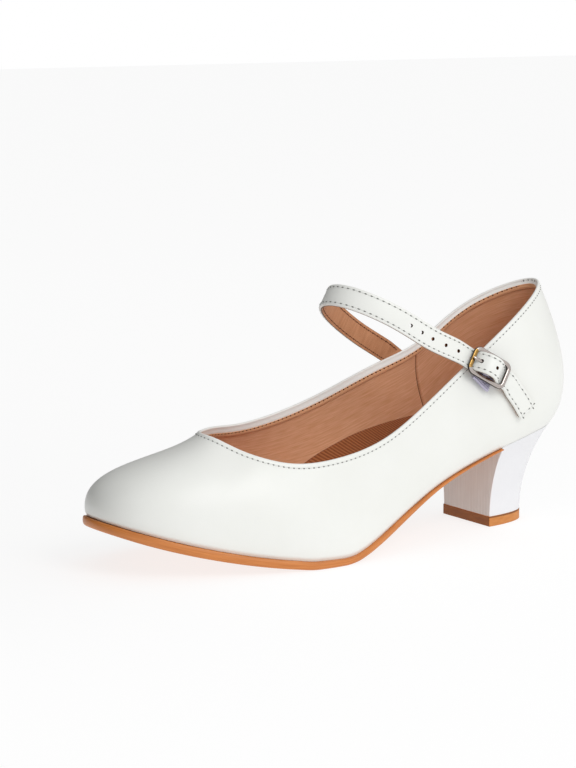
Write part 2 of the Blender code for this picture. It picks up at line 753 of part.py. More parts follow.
def clear_scene():
    """Remove whatever the scene holds."""
    for thing in list(bpy.data.objects):
        bpy.data.objects.remove(thing, do_unlink=True)


def main():
    clear_scene()
    parts = bpy.data.collections.new("character_shoe")
    cutters = bpy.data.collections.new("cutters")
    for group in (parts, cutters):
        bpy.context.scene.collection.children.link(group)
    build_upper(parts)
    build_outsole(parts)
    build_insole(parts)
    build_heel(parts)
    build_heel_tip(parts)
    build_strap(parts, cutters)
    build_buckle(parts, cutters)
    build_elastic(parts, cutters)


if __name__ == "__main__":
    main()
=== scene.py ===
"""The dressed left character shoe: a white one-strap pump on a covered heel.

The toe points along -Y, the buckle side is +X and the shoe stands on Z = 0. Points
are worked out as across, along and height from the toe tip on the floor, and placed
in the model's frame at the end.
"""

import logging
import math
from dataclasses import dataclass, field
from enum import Enum
from typing import Callable, ClassVar, Iterable, NamedTuple, Optional, Sequence

import bmesh
import bpy
import numpy as np
from mathutils import Matrix, Vector

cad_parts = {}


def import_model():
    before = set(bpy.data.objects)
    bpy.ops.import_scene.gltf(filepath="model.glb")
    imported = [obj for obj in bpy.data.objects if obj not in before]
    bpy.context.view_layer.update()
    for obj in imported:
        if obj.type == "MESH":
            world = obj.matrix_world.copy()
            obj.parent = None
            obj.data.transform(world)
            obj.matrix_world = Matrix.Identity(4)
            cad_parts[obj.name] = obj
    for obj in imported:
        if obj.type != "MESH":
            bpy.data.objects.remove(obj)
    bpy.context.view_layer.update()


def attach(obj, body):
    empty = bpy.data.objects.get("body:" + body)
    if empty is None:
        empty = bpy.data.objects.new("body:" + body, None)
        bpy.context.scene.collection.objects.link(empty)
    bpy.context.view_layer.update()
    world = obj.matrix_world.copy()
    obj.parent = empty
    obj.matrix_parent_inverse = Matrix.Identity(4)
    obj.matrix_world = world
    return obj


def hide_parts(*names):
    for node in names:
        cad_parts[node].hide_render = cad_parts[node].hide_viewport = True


LOG = logging.getLogger("character_shoe")
MM = 0.001
# The length taken for one turn round the shoe, for widths that are given as turns
TURN_LENGTH = 500.0 * MM
# The distance under which a mesh's points are joined
MERGE = 0.01 * MM
# The four corners of a rectangle, in the order that a path takes them
CORNERS = ((1, 1), (-1, 1), (-1, -1), (1, -1))
Curve = Callable[[np.ndarray], np.ndarray]


class BottomRow(NamedTuple):
    """One station of the sole's underside, as shares of the named sizes."""

    along: float
    toe: float
    heel: float
    thickness: float


class Rib(NamedTuple):
    """One rib of the last, from its foot on the sole to the topline."""

    foot_along: float
    foot_across: float
    top_along: float
    top_across: float
    instep: float
    heel: float
    counter: float
    foot_lean: float
    foot_pull: float
    top_lean: float
    top_pull: float


class Spot(NamedTuple):
    """A place on the wall: a share of a turn round it and of the rise up a rib."""

    turn: float
    rise: float


BOTTOM_LINE = (
    BottomRow(0.000, 1.000, 0.000, 1.00),
    BottomRow(0.070, 0.700, 0.000, 1.08),
    BottomRow(0.150, 0.420, 0.000, 1.04),
    BottomRow(0.230, 0.200, 0.000, 0.96),
    BottomRow(0.300, 0.060, 0.000, 0.90),
    BottomRow(0.345, 0.000, 0.000, 0.84),
    BottomRow(0.400, 0.000, 0.000, 0.74),
    BottomRow(0.425, 0.000, 0.014, 0.70),
    BottomRow(0.450, 0.000, 0.052, 0.68),
    BottomRow(0.485, 0.000, 0.125, 0.67),
    BottomRow(0.560, 0.000, 0.308, 0.66),
    BottomRow(0.640, 0.000, 0.510, 0.62),
    BottomRow(0.720, 0.000, 0.690, 0.52),
    BottomRow(0.800, 0.000, 0.850, 0.36),
    BottomRow(0.900, 0.000, 0.975, 0.30),
    BottomRow(1.000, 0.000, 1.000, 0.30),
)

RIBS = (
    Rib(0.014, -0.103, 0.207, 0.050, 1.00, 0.00, 0.00, 14, 0.41, 45, 0.28),
    Rib(0.036, 0.110, 0.215, 0.175, 0.98, 0.00, 0.00, 12, 0.38, 46, 0.29),
    Rib(0.100, 0.272, 0.240, 0.292, 0.91, 0.00, 0.00, 10, 0.29, 46, 0.37),
    Rib(0.205, 0.395, 0.276, 0.400, 0.84, 0.00, 0.00, 8, 0.28, 42, 0.38),
    Rib(0.335, 0.496, 0.335, 0.475, 0.78, 0.00, 0.00, 6, 0.32, 28, 0.36),
    Rib(0.440, 0.485, 0.415, 0.515, 0.70, 0.06, 0.04, 4, 0.34, 16, 0.36),
    Rib(0.550, 0.395, 0.520, 0.500, 0.50, 0.31, 0.14, 14, 0.34, 8, 0.36),
    Rib(0.675, 0.325, 0.635, 0.450, 0.26, 0.60, 0.39, 26, 0.34, 14, 0.36),
    Rib(0.800, 0.325, 0.755, 0.400, 0.06, 0.84, 0.69, 28, 0.32, 22, 0.38),
    Rib(0.906, 0.268, 0.862, 0.330, 0.00, 1.00, 0.885, 34, 0.31, 24, 0.42),
    Rib(0.971, 0.000, 0.951, 0.000, 0.00, 1.02, 1.02, 44, 0.29, 23, 0.47),
    Rib(0.906, -0.263, 0.862, -0.340, 0.00, 1.00, 0.868, 34, 0.31, 24, 0.42),
    Rib(0.800, -0.320, 0.757, -0.395, 0.12, 0.84, 0.612, 26, 0.32, 20, 0.38),
    Rib(0.675, -0.270, 0.655, -0.425, 0.42, 0.60, 0.362, 28, 0.36, 12, 0.36),
    Rib(0.550, -0.290, 0.545, -0.440, 0.757, 0.34, 0.09, 24, 0.36, 14, 0.36),
    Rib(0.425, -0.400, 0.440, -0.420, 0.937, 0.08, 0.00, 8, 0.34, 26, 0.36),
    Rib(0.310, -0.470, 0.345, -0.345, 0.957, 0.00, 0.00, 4, 0.30, 40, 0.38),
    Rib(0.200, -0.478, 0.275, -0.235, 0.98, 0.00, 0.00, 8, 0.27, 50, 0.40),
    Rib(0.100, -0.420, 0.236, -0.140, 0.99, 0.00, 0.00, 10, 0.355, 45, 0.31),
    Rib(0.036, -0.300, 0.215, -0.050, 1.00, 0.00, 0.00, 12, 0.40, 45, 0.29),
)


@dataclass(frozen=True)
class Sizes:
    """The shoe's driving sizes, the same as the solids'."""

    length: float = 236.0 * MM
    ball_width: float = 78.0 * MM
    topline_width: float = 58.0 * MM
    toe_spring: float = 19.5 * MM
    heel_height: float = 41.5 * MM
    instep_height: float = 54.5 * MM
    counter_height: float = 62.5 * MM
    centre_across: float = 0.9 * MM
    centre_along: float = 0.505 * 236.0 * MM
    upper_wall: float = 1.8 * MM
    sole_thickness: float = 3.9 * MM
    sole_ledge: float = 1.3 * MM
    insole_thickness: float = 2.2 * MM
    waist_share: float = 0.62
    waist_from: float = 118.0 * MM
    waist_to: float = 168.0 * MM
    heel_breast: float = 187.5 * MM
    tip_width: float = 33.0 * MM
    tip_length: float = 25.0 * MM
    tip_thickness: float = 4.6 * MM
    tip_ledge: float = 0.3 * MM
    gap: float = 0.3 * MM


SIZES = Sizes()


def spline(knots: np.ndarray, values: np.ndarray, period: Optional[float] = None) -> Curve:
    """Return a smooth function through the values.

    Args:
        knots: Where the values stand, rising.
        values: The values.
        period: The length after which the curve repeats, or None for natural ends.

    Returns:
        A function of an array of places.
    """
    knots = np.asarray(knots, float)
    values = np.asarray(values, float)
    if period:
        knots = np.append(knots, knots[0] + period)
        values = np.append(values, values[0])
    step = np.diff(knots)
    slope = np.diff(values) / step
    count = len(knots)
    matrix = np.eye(count)
    target = np.zeros(count)
    for i in range(1, count - 1):
        matrix[i, i - 1 : i + 2] = step[i - 1], 2 * (step[i - 1] + step[i]), step[i]
        target[i] = 6 * (slope[i] - slope[i - 1])
    if period:
        matrix[0] = 0.0
        matrix[0, 0], matrix[0, -1] = 1.0, -1.0
        matrix[-1] = 0.0
        matrix[-1, 0], matrix[-1, 1] = 2 * step[0], step[0]
        matrix[-1, -2], matrix[-1, -1] = step[-1], 2 * step[-1]
        target[-1] = 6 * (slope[0] - slope[-1])
    bend = np.linalg.solve(matrix, target)

    def curve(at: np.ndarray) -> np.ndarray:
        """Return the values at the places."""
        at = np.asarray(at, float)
        if period:
            at = knots[0] + (at - knots[0]) % period
        i = np.clip(np.searchsorted(knots, at, side="right") - 1, 0, count - 2)
        left = at - knots[i]
        right = knots[i + 1] - at
        width = step[i]
        return (
            (bend[i] * right**3 + bend[i + 1] * left**3) / (6 * width)
            + (values[i] / width - bend[i] * width / 6) * right
            + (values[i + 1] / width - bend[i + 1] * width / 6) * left
        )

    return curve


def steady(knots: np.ndarray, values: np.ndarray) -> Curve:
    """Return a smooth function that keeps level stretches level and never overshoots.

    Args:
        knots: Where the values stand, rising.
        values: The values.

    Returns:
        A function of an array of places.
    """
    knots = np.asarray(knots, float)
    values = np.asarray(values, float)
    step = np.diff(knots)
    slope = np.diff(values) / step
    tangent = np.zeros(len(knots))
    same_way = slope[:-1] * slope[1:] > 0
    lean = 2 * slope[:-1] * slope[1:]
    total = np.where(same_way, slope[:-1] + slope[1:], 1.0)
    tangent[1:-1] = np.where(same_way, lean / total, 0.0)
    tangent[0] = slope[0]
    tangent[-1] = slope[-1]

    def curve(at: np.ndarray) -> np.ndarray:
        """Return the values at the places."""
        at = np.clip(np.asarray(at, float), knots[0], knots[-1])
        i = np.clip(np.searchsorted(knots, at, side="right") - 1, 0, len(step) - 1)
        t = (at - knots[i]) / step[i]
        a = values[i] * (1 + 2 * t) * (1 - t) ** 2 + values[i + 1] * t * t * (3 - 2 * t)
        b = step[i] * t * (1 - t) * (tangent[i] * (1 - t) - tangent[i + 1] * t)
        return a + b

    return curve


def unit(vector: np.ndarray) -> np.ndarray:
    """Return the vector or vectors at length one."""
    vector = np.asarray(vector, float)
    return vector / np.linalg.norm(vector, axis=-1, keepdims=True)


def column(rows: Sequence[NamedTuple], name: str, scale: float = 1.0) -> np.ndarray:
    """Return one column of a table of rows, times the size that it is a share of."""
    return np.array([getattr(row, name) for row in rows]) * scale


def ease(at: np.ndarray, low: float, high: float) -> np.ndarray:
    """Return a smooth step from 0 at low to 1 at high, which may be the smaller."""
    t = np.clip((np.asarray(at, float) - low) / (high - low), 0.0, 1.0)
    return t * t * (3 - 2 * t)


def path_length(points: np.ndarray) -> np.ndarray:
    """Return how far along a path each of its points stands."""
    return np.concatenate([[0.0], np.cumsum(np.linalg.norm(np.diff(points, axis=0), axis=-1))])


def circle(steps: int) -> np.ndarray:
    """Return even points of a circle of radius one."""
    turns = np.linspace(0.0, 2 * math.pi, steps + 1)[:-1]
    return np.stack([np.cos(turns), np.sin(turns)], -1)


def bump(at: np.ndarray, middle: float, width: float) -> np.ndarray:
    """Return a soft hill of height one round the middle."""
    return np.exp(-(((np.asarray(at, float) - middle) / width) ** 2))


class Last:
    """The last: the sole line and the side wall, read round the ring and up each rib."""

    def __init__(self) -> None:
        """Fit periodic curves to the columns of the rib table."""
        along = column(BOTTOM_LINE, "along", SIZES.length)
        rise = column(BOTTOM_LINE, "toe", SIZES.toe_spring)
        rise = rise + column(BOTTOM_LINE, "heel", SIZES.heel_height)
        self.sole_bottom = steady(along, rise)
        self.sole_depth = steady(along, column(BOTTOM_LINE, "thickness", SIZES.sole_thickness))
        turns = np.arange(len(RIBS)) / len(RIBS)
        scales = {
            "foot_along": SIZES.length,
            "foot_across": SIZES.ball_width,
            "top_along": SIZES.length,
            "top_across": SIZES.topline_width,
            "instep": SIZES.instep_height,
            "heel": SIZES.heel_height,
            "counter": SIZES.counter_height,
            "foot_lean": math.radians(1),
            "foot_pull": 1.0,
            "top_lean": math.radians(1),
            "top_pull": 1.0,
        }
        self.read = {
            name: spline(turns, column(RIBS, name, scale), period=1.0)
            for name, scale in scales.items()
        }

    def waist_lift(self, along: np.ndarray) -> np.ndarray:
        """Return how much the sole is skived from below where it meets the heel."""
        return self.sole_depth(along) * SIZES.waist_share * ease(along, SIZES.waist_from, SIZES.waist_to)

    def sole_top(self, along: np.ndarray) -> np.ndarray:
        """Return the height of the sole's upper face."""
        return self.sole_bottom(along) + self.sole_depth(along)

    def outward(self, turn: np.ndarray, end: str) -> np.ndarray:
        """Return the level direction that faces out from the foot or top outline."""
        nudge = 1e-4
        along = self.read[end + "_along"]
        across = self.read[end + "_across"]
        run = along(turn + nudge) - along(turn - nudge)
        side = across(turn + nudge) - across(turn - nudge)
        return unit(np.stack([run, -side, np.zeros_like(run)], -1))

    def foot(self, turn: np.ndarray) -> np.ndarray:
        """Return where the ribs stand on the sole."""
        along = self.read["foot_along"](turn)
        across = self.read["foot_across"](turn)
        return np.stack([across, along, self.sole_top(along) + SIZES.gap], -1)

    def top(self, turn: np.ndarray) -> np.ndarray:
        """Return the topline."""
        along = self.read["top_along"](turn)
        across = self.read["top_across"](turn)
        height = self.read["instep"](turn) + self.read["heel"](turn) + self.read["counter"](turn)
        return np.stack([across, along, height], -1)

    def wall(self, turn: np.ndarray, rise: np.ndarray) -> np.ndarray:
        """Return points of the outer wall.

        Args:
            turn: Shares of a turn round the ring.
            rise: From 0 at the sole to 1 at the topline, of the same shape.

        Returns:
            Points as across, along and height.
        """
        turn = np.asarray(turn, float)
        rise = np.asarray(rise, float)[..., None]
        up = np.array([0.0, 0.0, 1.0])
        foot = self.foot(turn)
        top = self.top(turn)
        reach = np.linalg.norm(top - foot, axis=-1)[..., None]
        foot_lean = self.read["foot_lean"](turn)[..., None]
        top_lean = self.read["top_lean"](turn)[..., None]
        foot_way = np.cos(foot_lean) * up + np.sin(foot_lean) * self.outward(turn, "foot")
        top_way = np.cos(top_lean) * up - np.sin(top_lean) * self.outward(turn, "top")
        low = foot + self.read["foot_pull"](turn)[..., None] * reach * foot_way
        high = top - self.read["top_pull"](turn)[..., None] * reach * top_way
        rest = 1 - rise
        return rest**3 * foot + 3 * rest**2 * rise * low + 3 * rest * rise**2 * high + rise**3 * top

    def normal(self, turn: np.ndarray, rise: np.ndarray) -> np.ndarray:
        """Return the direction that faces out of the wall."""
        nudge = 1e-3
        rise = np.clip(rise, nudge, 1 - nudge)
        round_way = self.wall(turn + nudge, rise) - self.wall(turn - nudge, rise)
        up_way = self.wall(turn, rise + nudge) - self.wall(turn, rise - nudge)
        return unit(np.cross(round_way, up_way))

    def rib_length(self, turns: np.ndarray) -> np.ndarray:
        """Return how long each rib is, measured up the wall."""
        rises = np.linspace(0.0, 1.0, 161)
        grid = np.broadcast_to(turns[:, None], (len(turns), len(rises)))
        points = self.wall(grid, np.broadcast_to(rises, grid.shape))
        return np.linalg.norm(np.diff(points, axis=1), axis=-1).sum(axis=1)

    def rise_below(self, turns: np.ndarray, below: np.ndarray) -> np.ndarray:
        """Return the rise of places a distance below the topline.

        Args:
            turns: Shares of a turn, one for each rib.
            below: Distances down the wall, one row for each rib.

        Returns:
            Rises of the same shape as below.
        """
        rises = np.linspace(0.0, 1.0, 241)
        grid = np.broadcast_to(turns[:, None], (len(turns), len(rises)))
        points = self.wall(grid, np.broadcast_to(rises, grid.shape))
        steps = np.linalg.norm(np.diff(points, axis=1), axis=-1)
        down = np.concatenate([np.cumsum(steps[:, ::-1], axis=1)[:, ::-1], np.zeros((len(turns), 1))], 1)
        rows = [np.interp(b, d[::-1], rises[::-1]) for b, d in zip(below, down)]
        return np.array(rows)

    def skin(self, turns: np.ndarray, below: np.ndarray, off: np.ndarray) -> np.ndarray:
        """Return points set off the wall, placed by their distance below the topline.

        Args:
            turns: Shares of a turn, one for each rib.
            below: Distances below the topline; negative ones stand above it.
            off: Distances outside the wall, of the same shape as below.

        Returns:
            An array of ribs by rows by three.
        """
        below = np.broadcast_to(below, (len(turns), np.shape(below)[-1]))
        off = np.broadcast_to(off, below.shape)
        rise = self.rise_below(turns, np.maximum(below, 0.0))
        grid = np.broadcast_to(turns[:, None], below.shape)
        edge = np.ones(len(turns))
        up = unit(self.wall(turns, edge) - self.wall(turns, edge - 0.01))
        lift = np.maximum(-below, 0.0)[..., None] * up[:, None, :]
        return self.wall(grid, rise) + self.normal(grid, rise) * off[..., None] + lift


LAST = Last()


def place(points: np.ndarray) -> np.ndarray:
    """Return points given as across, along and height in the model's own frame."""
    return np.asarray(points, float) - np.array([SIZES.centre_across, SIZES.centre_along, 0.0])


def linear(colour: str) -> tuple[float, float, float, float]:
    """Return an sRGB hex colour as linear red, green, blue and alpha."""
    values = [int(colour[i : i + 2], 16) / 255 for i in (1, 3, 5)]
    red, green, blue = [v / 12.92 if v <= 0.04045 else ((v + 0.055) / 1.055) ** 2.4 for v in values]
    return red, green, blue, 1.0


def add_node(tree: bpy.types.NodeTree, kind: str, inputs: Optional[dict] = None, **settings) -> bpy.types.Node:
    """Add a node with its settings and links.

    Args:
        tree: The tree that it goes into.
        kind: The node's type name.
        inputs: Values or output sockets for its inputs, by name or number.
        **settings: The node's own properties.

    Returns:
        The new node.
    """
    node = tree.nodes.new(kind)
    for name, value in settings.items():
        setattr(node, name, value)
    for key, value in (inputs or {}).items():
        if isinstance(value, bpy.types.NodeSocket):
            tree.links.new(value, node.inputs[key])
        else:
            node.inputs[key].default_value = value
    return node


class Pattern(Enum):
    """How a finish's colour varies over the surface."""

    CLOUDY = "cloudy"
    STREAKED = "streaked"
    CORDED = "corded"


@dataclass(frozen=True)
class Finish:
    """A procedural finish: two colours, a fine grain and its gloss.

    The sizes of the cloud, of the grain and of the grain's depth are in millimetres.
    """

    name: str
    colour: str
    second: str
    roughness: float
    pattern: Pattern = Pattern.CLOUDY
    spread: float = 0.5
    cloud: tuple[float, float, float] = (25.0, 25.0, 25.0)
    grain: float = 0.5
    grain_depth: float = 0.02
    cells: bool = False
    metallic: float = 0.0
    coat: float = 0.0
    coat_roughness: float = 0.3
    sheen: float = 0.0
    specular: float = 0.5
    gloss_change: float = 0.04
    uses_uv: bool = False

    def material(self) -> bpy.types.Material:
        """Return the finish as a material, made once.

        Returns:
            A Principled material whose scales are in millimetres.
        """
        if self.name in bpy.data.materials:
            return bpy.data.materials[self.name]
        material = bpy.data.materials.new(self.name)
        material.use_nodes = True
        tree = material.node_tree
        shader = tree.nodes["Principled BSDF"]
        source = add_node(tree, "ShaderNodeTexCoord").outputs["UV" if self.uses_uv else "Object"]
        cloud_scale = tuple(1000.0 / size for size in self.cloud)
        broad = add_node(tree, "ShaderNodeMapping", {"Vector": source, "Scale": cloud_scale})
        noise = {"Vector": broad.outputs["Vector"], "Scale": 1.0, "Detail": 4.0, "Roughness": 0.6}
        cloud = add_node(tree, "ShaderNodeTexNoise", noise)
        tint = cloud.outputs["Fac"]
        if self.pattern is Pattern.CORDED:
            # A wave's period is 2 pi / (20 scale) metres
            wave_scale = 2 * math.pi * 50.0 / self.cloud[0]
            tint = add_node(tree, "ShaderNodeTexWave", {"Vector": source, "Scale": wave_scale}).outputs["Fac"]
        low = 0.5 - self.spread / 2
        blend = add_node(tree, "ShaderNodeMapRange", {"Value": tint, "From Min": 1 - low, "From Max": low})
        mix = add_node(tree, "ShaderNodeMix", {0: blend.outputs["Result"]}, data_type="RGBA")
        set_mix_colours(mix, linear(self.colour), linear(self.second))
        tree.links.new(mix.outputs[2], shader.inputs["Base Color"])
        fine = add_node(tree, "ShaderNodeMapping", {"Vector": source, "Scale": (1000.0 / self.grain,) * 3})
        spots = {"Vector": fine.outputs["Vector"], "Scale": 1.0}
        if self.cells:
            height = add_node(tree, "ShaderNodeTexVoronoi", spots).outputs["Distance"]
        else:
            height = add_node(tree, "ShaderNodeTexNoise", {**spots, "Detail": 3.0}).outputs["Fac"]
        if self.pattern is Pattern.CORDED:
            height = tint
        if self.pattern is Pattern.STREAKED:
            both = {0: height, 1: cloud.outputs["Fac"]}
            height = add_node(tree, "ShaderNodeMath", both, operation="ADD").outputs[0]
        relief = {"Height": height, "Strength": 1.0, "Distance": self.grain_depth * MM}
        normal = add_node(tree, "ShaderNodeBump", relief)
        tree.links.new(normal.outputs["Normal"], shader.inputs["Normal"])
        patchy = {
            "Value": cloud.outputs["Fac"],
            "To Min": self.roughness - self.gloss_change,
            "To Max": self.roughness + self.gloss_change,
        }
        gloss = add_node(tree, "ShaderNodeMapRange", patchy)
        tree.links.new(gloss.outputs["Result"], shader.inputs["Roughness"])
        constants = {
            "Metallic": self.metallic,
            "Coat Weight": self.coat,
            "Coat Roughness": self.coat_roughness,
            "Sheen Weight": self.sheen,
            "Specular IOR Level": self.specular,
        }
        for name, value in constants.items():
            shader.inputs[name].default_value = value
        material.diffuse_color = linear(self.colour)
        return material


def set_mix_colours(mix: bpy.types.Node, first: tuple, second: tuple) -> None:
    """Set the two colours of a colour mix, whose sockets share their names."""
    colours = [socket for socket in mix.inputs if socket.type == "RGBA"]
    colours[0].default_value = first
    colours[1].default_value = second


# The grains of leather, thread and rubber are finer than the picture can show, so each is
# drawn at 0.3 mm or more.
# Smooth coated cowhide: an even, closed skin with a soft satin light
WHITE_LEATHER = Finish(
    "white_coated_cowhide", "#EDEEEA", "#E9EAE5", 0.40,
    cloud=(30.0, 30.0, 30.0), grain=0.55, grain_depth=0.010, cells=True, coat=0.12,
)
# The same hide turned in at the topline, drawn paler than the outside: painted light on the inward-facing edge
WHITE_FOLD_PAINTED_LIGHT = Finish(
    "white_fold_painted_light", "#FAFAF7", "#F6F6F2", 0.45, cloud=(20.0, 20.0, 20.0), grain=0.55, grain_depth=0.008
)
# Wrapped polyurethane over the heel block: colder and a little duller than the upper
HEEL_WRAP = Finish(
    "white_polyurethane_wrap", "#ECECEE", "#E6E6E9", 0.42,
    cloud=(20.0, 20.0, 20.0), grain=0.6, grain_depth=0.008, cells=True, coat=0.08,
)
# The flap drawn down over the breast: stretched, so finely lined from top to bottom; its grey, darker than the
# heel wrap, is painted shade
BREAST_FLAP_PAINTED_SHADE = Finish(
    "stretched_flap_painted_shade", "#DBDCDB", "#CAC8C6", 0.62,
    pattern=Pattern.STREAKED, spread=0.6, cloud=(0.8, 0.8, 22.0), grain=0.35, grain_depth=0.04,
)
# Pigskin lining: matt and napped, with fine drawn lines along the foot
PIGSKIN = Finish(
    "tan_pigskin_lining", "#F9C49D", "#DFA073", 0.78,
    pattern=Pattern.STREAKED, spread=0.45, cloud=(9.0, 0.7, 1.0), grain=0.35, grain_depth=0.05,
    sheen=0.25, specular=0.3, uses_uv=True,
)
# The same skin folded as a binding: tighter and a shade smoother
BINDING = Finish(
    "tan_folded_binding", "#F0B98F", "#DDA277", 0.66,
    pattern=Pattern.STREAKED, spread=0.5, cloud=(6.0, 0.6, 1.0), grain=0.4, grain_depth=0.03,
    sheen=0.15, specular=0.35, uses_uv=True,
)
# Strap backing: the lining skin on the bias, with creases across the band
STRAP_BACKING = Finish(
    "tan_strap_backing", "#D39A72", "#BD8158", 0.70,
    pattern=Pattern.STREAKED, spread=0.5, cloud=(1.8, 9.0, 1.0), grain=0.4, grain_depth=0.16,
    sheen=0.15, specular=0.35, uses_uv=True,
)
# The cut edge of the strap, drawn dark as painted shade, so that it reads as a thin dark line along the tail
STRAP_EDGE_PAINTED_SHADE = Finish(
    "strap_edge_painted_shade", "#8E7B69", "#77655A", 0.75, cloud=(3.0, 3.0, 3.0), grain=0.3, grain_depth=0.03
)
# Corded latex pad: darker and matt, with cords 1.1 mm apart that run askew
RIBBED_PAD = Finish(
    "brown_corded_pad", "#AE6B41", "#8C4F2A", 0.82,
    pattern=Pattern.CORDED, cloud=(1.1, 1.1, 1.1), grain=0.4, grain_depth=0.16, sheen=0.15,
    specular=0.25, uses_uv=True,
)
# Bonded leather sole edge: waxed and stained orange, with thin lines of its layers
SOLE_LEATHER = Finish(
    "stained_bonded_leather", "#D88743", "#BE6E2C", 0.46,
    pattern=Pattern.STREAKED, spread=0.4, cloud=(16.0, 0.5, 0.5), grain=0.5, grain_depth=0.03,
    coat=0.12, coat_roughness=0.4, uses_uv=True,
)
# Top piece: pressed rubber of the same colour, duller and finely pitted
TOP_PIECE = Finish(
    "tan_pressed_rubber", "#D48A47", "#C0762F", 0.58,
    cloud=(5.0, 5.0, 1.2), grain=0.4, grain_depth=0.03,
)
# Painted shade: the top piece's front face and its joint with the block, drawn darker
TOP_PIECE_PAINTED_SHADE = Finish(
    "pressed_rubber_painted_shade", "#94581F", "#7C4512", 0.6, cloud=(5.0, 5.0, 1.2), grain=0.4, grain_depth=0.03
)
# Plated zinc: bright and barely scratched
NICKEL = Finish(
    "nickel_plated_zinc", "#C3BAB5", "#B7ADA8", 0.17,
    cloud=(3.0, 3.0, 3.0), grain=0.6, grain_depth=0.003, metallic=1.0,
)
# The casting's flanks, drawn dark as painted shade and painted reflection, so that each bar has a dark line
# beside it
NICKEL_PAINTED_SHADE = Finish(
    "nickel_flank_painted_shade", "#57514B", "#47423D", 0.28,
    cloud=(3.0, 3.0, 3.0), grain=0.6, grain_depth=0.003, metallic=1.0,
)
# The end bar under the loop, drawn gold: a painted warm highlight on the nickel
NICKEL_PAINTED_GOLD = Finish(
    "nickel_painted_gold_highlight", "#B08D55", "#9A7842", 0.24,
    cloud=(2.0, 2.0, 2.0), grain=0.6, grain_depth=0.004, metallic=1.0,
)
# Covered rubber elastic: lilac white yarn over ribs, drawn greyer as painted shade under the buckle
ELASTIC = Finish(
    "braided_elastic_painted_shade", "#C6C1D4", "#ADA8BE", 0.80,
    cloud=(1.5, 1.5, 1.5), grain=0.3, grain_depth=0.04, sheen=0.2, specular=0.3,
)
# Bonded polyester thread, in the leather's white, the lining's tan and the backing's brown
WHITE_THREAD = Finish("white_polyester_thread", "#E6E7E3", "#DADBD6", 0.55, grain=0.2, grain_depth=0.02)
TAN_THREAD = Finish("tan_polyester_thread", "#C88E63", "#B27645", 0.55, grain=0.2, grain_depth=0.02)
BROWN_THREAD = Finish("brown_polyester_thread", "#8A532F", "#744122", 0.6, grain=0.2, grain_depth=0.02)
# Needle holes: the thread's shadow where it enters the leather
GREY_HOLE = Finish("needle_hole_in_white", "#868783", "#7A7B77", 0.9, grain=0.3, grain_depth=0.0)
BROWN_HOLE = Finish("needle_hole_in_tan", "#5E3318", "#532B13", 0.9, grain=0.3, grain_depth=0.0)
# Painted shade: the lining's closed seams and the binding's lower edge, drawn as a dark crease
CREASE_PAINTED_SHADE = Finish("crease_painted_shade", "#7A4524", "#6A3A1C", 0.8, grain=0.3, grain_depth=0.0)


class Slot(Enum):
    """The record's material slots."""

    LEATHER = "white_leather"
    HEEL = "heel_cover"
    SOLE = "tan_sole"
    LINING = "tan_lining"
    NICKEL = "nickel"
    ELASTIC = "white_elastic"


def seat(piece: bpy.types.Object, slot: Slot, *nodes: str) -> bpy.types.Object:
    """Let a finished piece ride on the shoe.

    Args:
        piece: The piece, at the origin.
        slot: The record's slot; not used.
        *nodes: The solids that it stands for.

    Returns:
        The piece.
    """
    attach(piece, "root")
    if nodes:
        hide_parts(*nodes)
    LOG.info("%s: %d faces", piece.name, len(piece.data.polygons))
    return piece


def grid_faces(rows: int, columns: int, close_rows: bool = False, close_columns: bool = False) -> list[tuple]:
    """Return the quads of a grid of points, stored row by row.

    Args:
        rows: How many rows of points.
        columns: How many points in a row.
        close_rows: Whether the last row joins the first.
        close_columns: Whether a row's last point joins its first.

    Returns:
        Faces as tuples of point numbers.
    """
    faces = []
    for i in range(rows if close_rows else rows - 1):
        k = (i + 1) % rows
        for j in range(columns if close_columns else columns - 1):
            m = (j + 1) % columns
            faces.append((i * columns + j, i * columns + m, k * columns + m, k * columns + j))
    return faces


def capped_faces(rings: int, points: int) -> list[tuple]:
    """Return the faces of a tube of closed rings with both ends capped."""
    faces = grid_faces(rings, points, close_columns=True)
    faces.append(tuple(range(points)))
    faces.append(tuple(range((rings - 1) * points, rings * points))[::-1])
    return faces


def add_object(name: str, data: Optional[bpy.types.ID]) -> bpy.types.Object:
    """Return a new object that is linked to the scene."""
    thing = bpy.data.objects.new(name, data)
    bpy.context.scene.collection.objects.link(thing)
    return thing


def face_out(mesh: bpy.types.Mesh, merge: float = 0.0) -> None:
    """Turn a mesh's faces outwards, after points closer than the merge distance are joined."""
    work = bmesh.new()
    work.from_mesh(mesh)
    if merge:
        bmesh.ops.remove_doubles(work, verts=work.verts, dist=merge)
        bmesh.ops.dissolve_degenerate(work, edges=work.edges, dist=merge / 2)
    bmesh.ops.recalc_face_normals(work, faces=work.faces)
    work.to_mesh(mesh)
    work.free()
    mesh.shade_smooth()


@dataclass
class MeshDraft:
    """Points, faces and the rest of a piece before it becomes an object."""

    name: str
    points: np.ndarray
    faces: list[tuple]
    finishes: Sequence[Finish]
    finish_of: Optional[Sequence[int]] = None
    uv: Optional[np.ndarray] = None
    sharp: float = 45.0

    def build(self) -> bpy.types.Object:
        """Return the object with outward faces, its finishes and its UV map."""
        mesh = bpy.data.meshes.new(self.name)
        mesh.from_pydata([tuple(p) for p in place(self.points).reshape(-1, 3)], [], self.faces)
        if self.uv is not None:
            layer = mesh.uv_layers.new(name="surface")
            loops = np.empty(len(mesh.loops), np.int32)
            mesh.loops.foreach_get("vertex_index", loops)
            layer.data.foreach_set("uv", self.uv.reshape(-1, 2)[loops].astype(np.float32).ravel())
        for finish in self.finishes:
            mesh.materials.append(finish.material())
        if self.finish_of is not None:
            mesh.polygons.foreach_set("material_index", np.asarray(self.finish_of, np.int32))
        face_out(mesh, MERGE)
        mesh.set_sharp_from_angle(angle=math.radians(self.sharp))
        return add_object(self.name, mesh)


